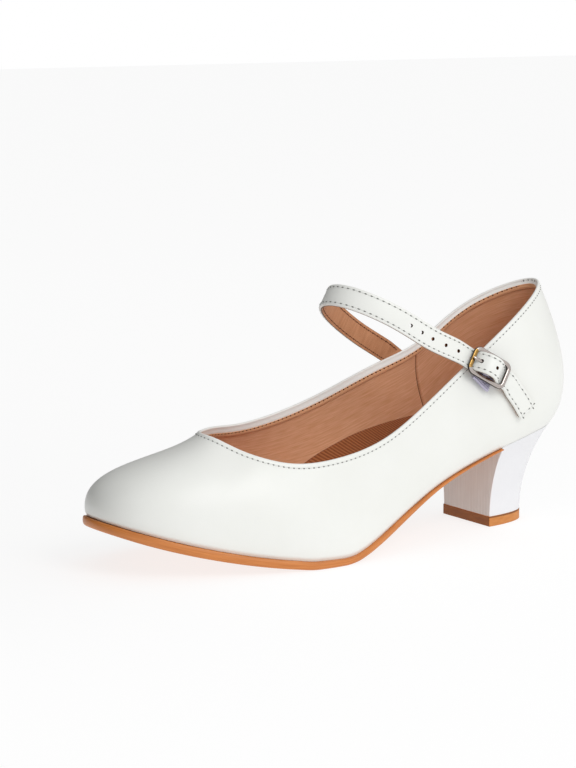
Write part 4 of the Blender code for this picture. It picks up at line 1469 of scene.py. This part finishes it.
@dataclass
class Strap:
    """The strap: a white face folded over a tan backing, punched and stitched."""

    stations: int = 620
    loop_widening: float = 0.6 * MM
    backing_inset: float = -0.03 * MM
    backing_thickness: float = 0.75 * MM
    backing_end: float = 0.8 * MM
    end_taper: float = 0.7 * MM
    prong_play: float = 0.35 * MM
    punch_reach: float = 2.2 * MM
    hole: float = 1.6 * MM
    hole_spacing: float = 6.7 * MM
    hole_shifts: tuple[float, ...] = (0.7 * MM, -0.2 * MM, -0.9 * MM, -0.1 * MM, 0.4 * MM, 1.2 * MM)
    before: int = 6
    after: int = 1
    margin: float = 1.25 * MM

    def width(self, at: np.ndarray) -> np.ndarray:
        """Return the strap's width, which is a little more round the loop."""
        loop = ease(at, ROUTE.loop_from, ROUTE.loop_from + 8 * MM)
        loop = loop * ease(at, ROUTE.buckle_from, ROUTE.buckle_from - 8 * MM)
        return HARDWARE.strap_width + self.loop_widening * loop

    def build(self) -> None:
        """Build the white body and the backing, then punch them."""
        at = np.linspace(0.0, ROUTE.length, self.stations + 1)
        middle, side, out = ROUTE.frame(at)
        width = HARDWARE.strap_width
        thick = HARDWARE.strap_thickness
        wide = self.width(at) / width
        square = rounded_section(width, thick - 0.1 * MM, 0.42 * MM)
        end = ROUTE.length - self.end_taper
        taper = np.minimum(ease(at, 0.0, self.end_taper), ease(at, ROUTE.length, end))
        sections = square[None] * np.stack([wide * (0.94 + 0.06 * taper), 0.6 + 0.4 * taper], -1)[:, None, :]
        points, faces = sweep(middle, side, out, sections)
        body = MeshDraft("strap_leather", points, faces, [WHITE_LEATHER], sharp=50.0).build()
        back_section = rounded_section(width - 2 * self.backing_inset, self.backing_thickness, 0.2 * MM, 3)
        inner = middle - out * (thick / 2 + 0.05 * MM - self.backing_thickness / 2)
        keep = (at > self.backing_end) & (at < ROUTE.length - self.backing_end)
        count = int(keep.sum())
        lining = back_section[None] * np.stack([wide[keep], np.ones(count)], -1)[:, None, :]
        points, faces = sweep(inner[keep], side[keep], out[keep], lining)
        rows = len(back_section)
        uv = np.stack([np.repeat(at[keep], rows), np.tile(back_section[:, 0], count)], -1)
        # The backing's side faces take the dark edge finish: painted shade along the strap's cut edge
        flank = np.abs(back_section[:, 0]) > back_section[:, 0].max() - 0.12 * MM
        finish_of = [1 if all(flank[corner % rows] for corner in face) else 0 for face in faces]
        finishes = [STRAP_BACKING, STRAP_EDGE_PAINTED_SHADE]
        backing = MeshDraft("strap_backing", points, faces, finishes, finish_of, uv, 50.0).build()
        cutters = self.cutters()
        for piece in (body, backing):
            combine(piece, cutters, "DIFFERENCE", 40)
        for cutter in cutters:
            bpy.data.objects.remove(cutter)
        seat(body, Slot.LEATHER, "strap")
        seat(backing, Slot.LINING, "strap")

    def cutters(self) -> list[bpy.types.Object]:
        """Return the punches: round pins, and one that follows the prong."""
        pins = []
        for number in range(-self.before, self.after + 1):
            shift = self.hole_shifts[number] if number < 0 else 0.0
            at = ROUTE.prong_at + number * self.hole_spacing + shift
            where, side, out = (v[0] for v in ROUTE.frame(at))
            radius = self.hole / 2 if number else HARDWARE.prong_wire / 2 + self.prong_play
            ring = radius * circle(16) @ np.array([side, np.cross(side, out)])
            points = np.array([ring + where + out * self.punch_reach * way for way in (-1, 1)])
            # The punches pass the dark hole finish to the holes' walls: painted shade inside the holes
            draft = MeshDraft(f"punch_{number + self.before}", points, capped_faces(2, 16), [BROWN_HOLE])
            pins.append(draft.build())
        return pins

    def edge_line(self, way: int, face: int, start: float, end: float) -> tuple[np.ndarray, np.ndarray]:
        """Return a stitch line along one edge of the strap.

        Args:
            way: 1 for the upper edge of the loop, -1 for the lower.
            face: 1 for the white face, -1 for the backing.
            start: Where it starts along the route.
            end: Where it ends.

        Returns:
            Points and the directions that face out of the strap.
        """
        at = np.linspace(start, end, max(8, int((end - start) / (0.8 * MM))))
        middle, side, out = ROUTE.frame(at)
        thick = HARDWARE.strap_thickness / 2
        height = thick - 0.05 * MM if face > 0 else thick + 0.05 * MM
        offset = self.width(at)[:, None] / 2 - self.margin
        return middle + side * way * offset + out * face * height, out * face

    def end_line(self) -> tuple[np.ndarray, np.ndarray]:
        """Return the stitch line across the free end."""
        at = np.full(9, ROUTE.length - self.margin)
        middle, side, out = ROUTE.frame(at)
        offset = np.linspace(-1.0, 1.0, 9) * (HARDWARE.strap_width / 2 - self.margin)
        return middle + side * offset[:, None] + out * (HARDWARE.strap_thickness / 2 - 0.05 * MM), out


@dataclass
class Buckle:
    """The cast nickel buckle: a rounded frame, its middle bar and the prong."""

    band: float = 2.0 * MM
    depth: float = 1.6 * MM
    gold_from: float = 0.80

    def build(self) -> None:
        """Build the frame with its bar, then the prong."""
        frame = self.build_frame()
        bar = self.build_bar()
        combine(frame, [bar], "UNION", 50)
        bpy.data.objects.remove(bar)
        seat(frame, Slot.NICKEL, "buckle_frame")
        self.build_prong()

    def build_frame(self) -> bpy.types.Object:
        """The frame: a flat band with rounded edges bent to a rectangle."""
        centres = np.array(CORNERS) * (np.array([HARDWARE.end_bar, HARDWARE.side_bar]) - HARDWARE.corner)
        path = []
        for number, (here, ahead) in enumerate(zip(centres, np.roll(centres, -1, axis=0))):
            for step in range(13):
                angle = math.pi / 2 * (number + step / 12)
                way = np.array([math.cos(angle), math.sin(angle)])
                path.append((here + HARDWARE.corner * way, way))
            # Points along the straight bar keep its faces short
            start = here + HARDWARE.corner * way
            path += [(start + (ahead - here) * share, way) for share in (0.25, 0.5, 0.75)]
        middle = np.array([HARDWARE.at(*spot, 0.0) for spot, _ in path])
        away = np.array([HARDWARE.run * way[0] + HARDWARE.side * way[1] for _, way in path])
        out = np.tile(HARDWARE.out, (len(path), 1))
        section = rounded_section(self.band, self.depth, 0.62 * MM, 6)
        points, faces = sweep(middle, away, out, section, closed=True)
        rows = len(section)
        finish_of = []
        for number in range(len(faces)):
            ring, step = divmod(number, rows)
            lie = (section[step] + section[(step + 1) % rows]) / 2
            # The end bar under the loop is drawn gold: painted highlight
            gold_lit = max(path[ring][1][0], path[(ring + 1) % len(path)][1][0]) < -self.gold_from
            # Flanks and underside take the dark finish: painted shade and painted reflection
            flank = abs(lie[0]) > self.band / 2 * 0.80 or lie[1] < -self.depth / 2 * 0.3
            finish_of.append(1 if flank else 2 if gold_lit else 0)
        finishes = [NICKEL, NICKEL_PAINTED_SHADE, NICKEL_PAINTED_GOLD]
        return MeshDraft("buckle_frame_nickel", points, faces, finishes, finish_of, sharp=50.0).build()

    def build_bar(self) -> bpy.types.Object:
        """The round middle bar."""
        ends = np.linspace(-HARDWARE.side_bar, HARDWARE.side_bar, 5)
        middle = np.array([HARDWARE.at(0.0, end, 0.0) for end in ends])
        section = circle(20) * (HARDWARE.wire / 2 - 0.1 * MM)
        points, faces = sweep(middle, np.tile(HARDWARE.run, (5, 1)), np.tile(HARDWARE.out, (5, 1)), section)
        return MeshDraft("middle_bar", points, faces, [NICKEL], sharp=50.0).build()

    def build_prong(self) -> None:
        """The prong: a wire curled round the middle bar, flattened towards its tip."""
        lift = HARDWARE.prong_lift
        turns = np.radians(np.linspace(-190.0, 90.0, 29))
        curl = [(lift * math.cos(t), lift * math.sin(t)) for t in turns]
        tip = -HARDWARE.end_bar - HARDWARE.prong_wire * 0.6
        straight = [(tip * share, lift + 0.25 * MM * share**2) for share in np.linspace(0.1, 1.0, 14)]
        line = np.array(curl + straight)
        middle = np.array([HARDWARE.at(run, 0.0, out) for run, out in line])
        run = unit(np.gradient(middle, axis=0))
        side = np.tile(HARDWARE.side, (len(middle), 1))
        out = np.cross(run, side)
        section = circle(16) * np.array([0.68, 0.5]) * MM
        sections = np.repeat(section[None], len(middle), 0)
        sections[-1] *= 0.25
        sections[-2] *= 0.75
        sections[0] *= 0.6
        points, faces = sweep(middle, side, out, sections)
        draft = MeshDraft("buckle_prong_nickel", points, faces, [NICKEL], sharp=60.0)
        seat(draft.build(), Slot.NICKEL, "buckle_prong")


@dataclass
class Elastic:
    """The elastic under the buckle: a folded band round the middle bar, ribbed along its length."""

    rib_pitch: float = 0.95 * MM
    rib_width: float = 0.80 * MM
    low_edge: float = -8.4 * MM
    high_edge: float = 2.0 * MM
    curl: float = 0.9 * MM
    skew: float = 1.6 * MM
    shell_share: float = 0.36

    def lines(self) -> list[np.ndarray]:
        """Return the plies' middle lines as run and out.

        Returns:
            The ply that wraps the bar and goes to the tail, and the one before the bar.
        """
        inside = HARDWARE.wire / 2 + SIZES.gap + HARDWARE.elastic_thickness / 2
        level = 2 * SIZES.gap - HARDWARE.standoff + HARDWARE.elastic_thickness / 2
        turns = np.radians(np.linspace(75.0, 285.0, 17))
        arc = [(inside * math.cos(t), inside * math.sin(t)) for t in turns]
        tail = HARDWARE.elastic_tail
        back = [(tail * 0.35, level + 0.5 * MM), (tail * 0.7, level), (tail, level)]
        front = [(4.6, -3.7), (3.0, -3.6), (1.0, -3.4), (-1.0, -3.1), (-3.0, -2.8), (-4.6, -2.5)]
        return [np.array(arc + back), np.array(front) * MM]

    def ply(self, line: np.ndarray, low: float, high: float) -> tuple[np.ndarray, np.ndarray]:
        """Return a ply's surface between two edges.

        Args:
            line: Its middle line as run and out.
            low: Where its lower edge stands.
            high: Where its upper edge stands.

        Returns:
            Points by station and rib, and the direction out of the surface at each station.
        """
        steps = path_length(line)
        at = np.linspace(0.0, steps[-1], 30)
        run = np.interp(at, steps, line[:, 0])
        out = np.interp(at, steps, line[:, 1])
        way = unit(np.stack([np.gradient(run), np.gradient(out)], -1))
        count = int((high - low) / self.rib_pitch)
        sides = np.linspace(low, high, count + 1)
        # Only the ply that shows below the buckle curls and slants
        hangs = 1.0 if low == self.low_edge else 0.0
        shelf = hangs * self.curl * ease(sides, -4.5 * MM, self.low_edge)
        skew = hangs * self.skew * ease(run, 4.6 * MM, -4.6 * MM)
        points = np.array(
            [[HARDWARE.at(r, y + k, o + c) for y, c in zip(sides, shelf)] for r, o, k in zip(run, out, skew)]
        )
        return points, -way[:, 1:] * HARDWARE.run + way[:, :1] * HARDWARE.out

    def build(self) -> None:
        """Build the plies and their ribs."""
        lines = []
        half = HARDWARE.elastic_width / 2
        thick = HARDWARE.elastic_thickness * self.shell_share
        edges = ((-half, half), (self.low_edge, self.high_edge))
        names = ("buckle_elastic", "buckle_elastic_front")
        for line, (low, high), name in zip(self.lines(), edges, names):
            points, up = self.ply(line, low, high)
            lift = up[:, None] * thick
            shell = np.concatenate([points + lift, (points - lift)[:, ::-1]], 1)
            faces = capped_faces(*shell.shape[:2])
            # The elastic's finish is drawn greyer than its yarn: painted shade
            seat(MeshDraft(name, shell, faces, [ELASTIC], sharp=60.0).build(), Slot.ELASTIC, "elastic")
            ribs = range(points.shape[1])
            lines += [(points[:, j] + up * thick * face, up * face) for j in ribs for face in (-1, 1)]
        seat(rib_cords("elastic_ribs", self.rib_width / 2, lines, ELASTIC), Slot.ELASTIC, "elastic")


def line_object(name: str, lines: Sequence[tuple[np.ndarray, np.ndarray]]) -> bpy.types.Object:
    """Return an object of loose edges that carries each line's outward direction.

    Args:
        name: The object's name.
        lines: Pairs of points and outward directions.

    Returns:
        The object, with the directions in the attribute "out".
    """
    points = []
    normals = []
    edges = []
    for line, out in lines:
        base = len(points)
        points += [tuple(p) for p in place(line)]
        normals += [tuple(n) for n in out]
        edges += [(base + i, base + i + 1) for i in range(len(line) - 1)]
    mesh = bpy.data.meshes.new(name)
    mesh.from_pydata(points, edges, [])
    attribute = mesh.attributes.new("out", "FLOAT_VECTOR", "POINT")
    attribute.data.foreach_set("vector", np.array(normals, np.float32).ravel())
    return add_object(name, mesh)


def run_tree(thing: bpy.types.Object, tree: bpy.types.NodeTree, values: dict[str, object]) -> bpy.types.Object:
    """Run a geometry tree on an object and keep the result as a plain mesh.

    Args:
        thing: The object that the tree works on.
        tree: The geometry tree.
        values: Values for the tree's named inputs.

    Returns:
        The same object with its new mesh.
    """
    change = thing.modifiers.new(tree.name, "NODES")
    change.node_group = tree
    sockets = {item.name: item.identifier for item in tree.interface.items_tree if item.item_type == "SOCKET"}
    for name, value in values.items():
        change[sockets[name]] = value
    face_out(settle(thing).data)
    return thing


def new_tree(name: str, inputs: dict[str, str]) -> tuple[bpy.types.NodeTree, bpy.types.Node]:
    """Return an empty geometry tree with named inputs, and its input node."""
    tree = bpy.data.node_groups.new(name, "GeometryNodeTree")
    tree.interface.new_socket("Geometry", in_out="INPUT", socket_type="NodeSocketGeometry")
    tree.interface.new_socket("Geometry", in_out="OUTPUT", socket_type="NodeSocketGeometry")
    for label, kind in inputs.items():
        tree.interface.new_socket(label, in_out="INPUT", socket_type=kind)
    return tree, tree.nodes.new("NodeGroupInput")


def rib_cords(
    name: str, radius: float, lines: Sequence[tuple[np.ndarray, np.ndarray]], finish: Finish
) -> bpy.types.Object:
    """Return round cords along lines, made by Geometry Nodes.

    Args:
        name: The object's name.
        radius: The cords' radius.
        lines: Pairs of points and outward directions.
        finish: What they are made of.

    Returns:
        The finished object.
    """
    tree, start = new_tree("cords_" + name, {"Radius": "NodeSocketFloat", "Finish": "NodeSocketMaterial"})
    paths = add_node(tree, "GeometryNodeMeshToCurve", {"Mesh": start.outputs["Geometry"]})
    size = {"Resolution": 8, "Radius": start.outputs["Radius"]}
    ring = add_node(tree, "GeometryNodeCurvePrimitiveCircle", size)
    shape = {"Curve": paths.outputs["Curve"], "Profile Curve": ring.outputs["Curve"], "Fill Caps": True}
    cords = add_node(tree, "GeometryNodeCurveToMesh", shape)
    real = add_node(tree, "GeometryNodeRealizeInstances", {"Geometry": cords.outputs["Mesh"]})
    coat = {"Geometry": real.outputs["Geometry"], "Material": start.outputs["Finish"]}
    dressed = add_node(tree, "GeometryNodeSetMaterial", coat)
    add_node(tree, "NodeGroupOutput", {"Geometry": dressed.outputs["Geometry"]})
    return run_tree(line_object(name, lines), tree, {"Radius": radius, "Finish": finish.material()})


@dataclass(frozen=True)
class StitchKind:
    """The sizes of one kind of stitching, with its thread and its needle holes."""

    LENGTHS: ClassVar[tuple[str, ...]] = ("pitch", "length", "width", "height", "hole_length", "hole_width")

    pitch: float
    length: float
    width: float
    height: float
    hole_length: float
    hole_width: float
    tilt: float
    thread: Finish
    hole: Finish

    def values(self) -> dict[str, object]:
        """Return the values of the stitch tree's inputs, by name."""
        values = {name.replace("_", " ").title(): getattr(self, name) * MM for name in self.LENGTHS}
        finishes = {"Thread": self.thread.material(), "Hole": self.hole.material()}
        return {**values, "Tilt": math.radians(self.tilt), **finishes}


# Lengths in millimetres and the thread's tilt in degrees
LOCKSTITCH = StitchKind(2.25, 1.25, 0.40, 0.26, 0.95, 0.52, 8, WHITE_THREAD, GREY_HOLE)
STRAP_STITCH = StitchKind(2.70, 1.75, 0.42, 0.30, 1.20, 0.54, -10, WHITE_THREAD, GREY_HOLE)
BACKING_STITCH = StitchKind(2.70, 1.75, 0.42, 0.30, 1.20, 0.54, -10, BROWN_THREAD, BROWN_HOLE)
LINING_STITCH = StitchKind(2.25, 1.15, 0.62, 0.50, 1.15, 0.72, 14, TAN_THREAD, BROWN_HOLE)
# The tack's stitches lie across the edge and show as grey marks
BAR_TACK = StitchKind(2.05, 1.75, 0.50, 0.34, 0.30, 0.24, 82, GREY_HOLE, GREY_HOLE)


class StitchTree:
    """The geometry tree that sews a line: a thread and a needle hole at each pitch."""

    INPUTS = {
        "Pitch": "NodeSocketFloat",
        "Length": "NodeSocketFloat",
        "Width": "NodeSocketFloat",
        "Height": "NodeSocketFloat",
        "Hole Length": "NodeSocketFloat",
        "Hole Width": "NodeSocketFloat",
        "Tilt": "NodeSocketFloat",
        "Thread": "NodeSocketMaterial",
        "Hole": "NodeSocketMaterial",
    }

    def __init__(self) -> None:
        """Build the tree once."""
        self.tree, start = new_tree("sewn_stitches", self.INPUTS)
        tree = self.tree
        get = start.outputs
        paths = add_node(tree, "GeometryNodeMeshToCurve", {"Mesh": get["Geometry"]})
        line = {"Curve": paths.outputs["Curve"], "Length": get["Pitch"]}
        spots = add_node(tree, "GeometryNodeCurveToPoints", line, mode="LENGTH")
        out = add_node(tree, "GeometryNodeInputNamedAttribute", {"Name": "out"}, data_type="FLOAT_VECTOR")
        ways = {"Primary Axis": out.outputs["Attribute"], "Secondary Axis": spots.outputs["Tangent"]}
        turn = add_node(tree, "FunctionNodeAxesToRotation", ways, primary_axis="Z", secondary_axis="X")
        half = add_node(tree, "ShaderNodeMath", {0: get["Pitch"], 1: 0.5}, operation="MULTIPLY")
        tilt = add_node(tree, "ShaderNodeCombineXYZ", {2: get["Tilt"]})
        between = add_node(tree, "ShaderNodeCombineXYZ", {0: half.outputs[0]})
        thread_size = (get["Length"], get["Width"], get["Height"])
        hole_size = (get["Hole Length"], get["Hole Width"], get["Hole Width"])
        thread = self.bead(thread_size, get["Thread"], 6, {"Rotation": tilt.outputs["Vector"]})
        hole = self.bead(hole_size, get["Hole"], 4, {"Translation": between.outputs["Vector"]})
        joined = tree.nodes.new("GeometryNodeJoinGeometry")
        for shape in (thread, hole):
            sown = {"Points": spots.outputs["Points"], "Instance": shape, "Rotation": turn.outputs["Rotation"]}
            made = add_node(tree, "GeometryNodeInstanceOnPoints", sown)
            tree.links.new(made.outputs["Instances"], joined.inputs["Geometry"])
        real = add_node(tree, "GeometryNodeRealizeInstances", {"Geometry": joined.outputs["Geometry"]})
        add_node(tree, "NodeGroupOutput", {"Geometry": real.outputs["Geometry"]})

    def bead(
        self, size: tuple[bpy.types.NodeSocket, ...], finish: bpy.types.NodeSocket, rows: int, move: dict
    ) -> bpy.types.NodeSocket:
        """Return a stretched ball with its finish.

        Args:
            size: Its size along the line, across it and out of the surface.
            finish: Its material.
            rows: Rings up it.
            move: How it is turned or moved from its place on the line.

        Returns:
            The geometry socket.
        """
        tree = self.tree
        ball = add_node(tree, "GeometryNodeMeshUVSphere", {"Segments": 8, "Rings": rows, "Radius": 0.5})
        scale = add_node(tree, "ShaderNodeCombineXYZ", dict(enumerate(size)))
        stretch = {"Geometry": ball.outputs["Mesh"], "Scale": scale.outputs["Vector"]}
        shape = add_node(tree, "GeometryNodeTransform", stretch).outputs["Geometry"]
        moved = add_node(tree, "GeometryNodeTransform", {"Geometry": shape, **move}).outputs["Geometry"]
        coat = {"Geometry": moved, "Material": finish}
        return add_node(tree, "GeometryNodeSetMaterial", coat).outputs["Geometry"]


@dataclass
class Stitching:
    """All the sewing: topline, binding, strap, its sewn end and the bar tack."""

    upper: Upper
    strap: Strap
    tree: StitchTree = field(default_factory=StitchTree)
    binding_sink: float = 0.34 * MM
    tack_turns: tuple[float, float] = (0.4950, 0.5105)

    def wall_line(self, below: object, off: float, inward: bool, start: float, end: float, count: int) -> tuple:
        """Return a line round the wall a distance below the topline.

        Args:
            below: The distance below the topline, or a function of the turn.
            off: The distance off the wall.
            inward: Whether it faces into the shoe.
            start: The turn where it starts.
            end: The turn where it ends.
            count: How many points.

        Returns:
            Points and outward directions.
        """
        turns = np.linspace(start, end, count)
        rows = below(turns)[:, None] if callable(below) else np.full((count, 1), below)
        points = LAST.skin(turns, rows, np.full((count, 1), off))[:, 0]
        rise = LAST.rise_below(turns, rows)[:, 0]
        normal = LAST.normal(turns, rise)
        return points, -normal if inward else normal

    def build(self) -> None:
        """Sew every line."""
        upper = self.upper
        strap = self.strap
        under_binding = -SIZES.upper_wall - self.binding_sink
        topline = self.wall_line(upper.stitch_below, -0.02 * MM, False, 0.503, 1.497, 900)
        binding = self.wall_line(upper.binding_stitch, under_binding, True, 0.515, 1.485, 900)
        tack = self.wall_line(0.95 * MM, -upper.rim + 0.12 * MM, True, *self.tack_turns, 60)
        edges = [strap.edge_line(way, 1, strap.margin, ROUTE.length - strap.margin) for way in (-1, 1)]
        start = ROUTE.loop_from + 2 * MM
        backing = [strap.edge_line(way, -1, start, ROUTE.buckle_from) for way in (-1, 1)]
        white = Slot.LEATHER
        runs = (
            ("topline_stitches", [topline], LOCKSTITCH, white, "upper"),
            ("binding_stitches", [binding], LINING_STITCH, Slot.LINING, "upper"),
            ("strap_stitches", edges + [strap.end_line()], STRAP_STITCH, white, "strap"),
            ("strap_back_stitches", backing, BACKING_STITCH, Slot.LINING, "strap"),
            ("back_bar_tack", [tack], BAR_TACK, white, "upper"),
        )
        for name, lines, kind, slot, node in runs:
            seat(run_tree(line_object(name, lines), self.tree.tree, kind.values()), slot, node)


@dataclass
class Studio:
    """The camera at the photograph's angle, soft white light and a pale floor."""

    azimuth: float = math.radians(56.5)
    elevation: float = math.radians(9.3)
    roll: float = math.radians(0.3)
    distance: float = 1.0
    focal_pixels: float = 2387.0
    image_height: int = 768
    sensor: float = 36.0
    target: tuple[float, float, float] = (0.0, 0.0926, 0.0704)
    bright_way: tuple[float, float, float] = (0.68, 0.22, 0.70)
    flag_along: float = -0.25
    flag_across: tuple[float, float] = (-0.45, 0.04)
    flag_height: float = 0.30
    dim: float = 0.12
    bright: float = 0.90
    floor_glow: float = 0.80

    def build(self) -> None:
        """Build the camera, the floor, the world and the lights."""
        self.build_camera()
        self.build_floor()
        self.build_world()
        self.build_lights()

    def build_camera(self) -> None:
        """The camera, with a long lens."""
        scene = bpy.context.scene
        data = bpy.data.cameras.new("camera")
        data.sensor_width = self.sensor
        data.sensor_fit = "AUTO"
        data.lens = self.focal_pixels * self.sensor / self.image_height
        data.clip_start = 0.01
        data.clip_end = 50.0
        camera = add_object("camera", data)
        right = np.array([math.cos(self.azimuth), math.sin(self.azimuth), 0.0])
        level = math.cos(self.elevation)
        back = np.array([right[1] * level, -right[0] * level, math.sin(self.elevation)])
        up = np.cross(back, right)
        c, s = math.cos(self.roll), math.sin(self.roll)
        where = place(np.array(self.target)) + back * self.distance
        matrix = np.eye(4)
        matrix[:3] = np.stack([right * c - up * s, right * s + up * c, back, where], -1)
        camera.matrix_world = Matrix(matrix.tolist())
        scene.camera = camera

    def build_floor(self) -> None:
        """A plain pale floor, lifted a little so that it prints white."""
        mesh = bpy.data.meshes.new("floor")
        half = 6.0
        mesh.from_pydata([(x * half, y * half, 0) for x, y in CORNERS], [], [(0, 1, 2, 3)])
        floor = add_object("floor", mesh)
        material = bpy.data.materials.new("pale_floor")
        material.use_nodes = True
        shader = material.node_tree.nodes["Principled BSDF"]
        shader.inputs["Base Color"].default_value = (0.22, 0.22, 0.22, 1.0)
        shader.inputs["Roughness"].default_value = 0.9
        shader.inputs["Specular IOR Level"].default_value = 0.1
        shader.inputs["Emission Color"].default_value = (1.0, 1.0, 1.0, 1.0)
        shader.inputs["Emission Strength"].default_value = self.floor_glow
        mesh.materials.append(material)

    def build_world(self) -> None:
        """Soft light that is strong from the heel side and weak from the toe side."""
        world = bpy.data.worlds.new("studio")
        world.use_nodes = True
        tree = world.node_tree
        way = add_node(tree, "ShaderNodeTexCoord").outputs["Generated"]
        ways = {0: way, 1: tuple(unit(np.array(self.bright_way)))}
        toward = add_node(tree, "ShaderNodeVectorMath", ways, operation="DOT_PRODUCT").outputs["Value"]
        span = {"Value": toward, "From Min": -0.6, "From Max": 1.0, "To Min": self.dim, "To Max": self.bright}
        level = add_node(tree, "ShaderNodeMapRange", span)
        seen = add_node(tree, "ShaderNodeLightPath").outputs["Is Camera Ray"]
        pick = add_node(tree, "ShaderNodeMix", {0: seen, 2: level.outputs["Result"], 3: 1.0}, data_type="FLOAT")
        tree.links.new(pick.outputs[0], tree.nodes["Background"].inputs["Strength"])
        tree.nodes["Background"].inputs["Color"].default_value = (1.0, 1.0, 1.0, 1.0)
        bpy.context.scene.world = world
        bpy.context.scene.view_settings.view_transform = "Standard"

    def build_lights(self) -> None:
        """A broad key from above the heel side."""
        self.add_light("key", (1.35, 0.15, 1.15), 8.6, 0.8)
        self.add_flag()

    def add_flag(self) -> None:
        """A dark card in front of the toe, outside the picture, that shades what faces forward."""
        mesh = bpy.data.meshes.new("flag")
        low, high = self.flag_across
        top = self.flag_height
        corners = [(low, self.flag_along, 0.001), (high, self.flag_along, 0.001)]
        corners += [(high, self.flag_along, top), (low, self.flag_along, top)]
        mesh.from_pydata(corners, [], [(0, 1, 2, 3)])
        flag = add_object("flag", mesh)
        material = bpy.data.materials.new("black_card")
        material.use_nodes = True
        shader = material.node_tree.nodes["Principled BSDF"]
        shader.inputs["Base Color"].default_value = (0.02, 0.02, 0.02, 1.0)
        shader.inputs["Roughness"].default_value = 0.9
        mesh.materials.append(material)
        flag.visible_camera = False

    def add_light(self, name: str, where: tuple[float, float, float], power: float, size: float) -> None:
        """Add a square light that faces the shoe."""
        data = bpy.data.lights.new(name, "AREA")
        data.energy = power
        data.size = size
        light = add_object(name, data)
        light.location = where
        aim = Vector((0.0, 0.0, 0.04)) - Vector(where)
        light.rotation_euler = aim.to_track_quat("-Z", "Y").to_euler()


def main() -> None:
    """Load the solids, dress them and light the shoe."""
    logging.basicConfig(level=logging.INFO, format="%(name)s: %(message)s")
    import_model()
    upper = Upper()
    strap = Strap()
    upper.build()
    Outsole().build()
    Insole().build()
    Heel().build()
    strap.build()
    Buckle().build()
    Elastic().build()
    Stitching(upper, strap).build()
    Studio().build()


if __name__ == "__main__":
    main()
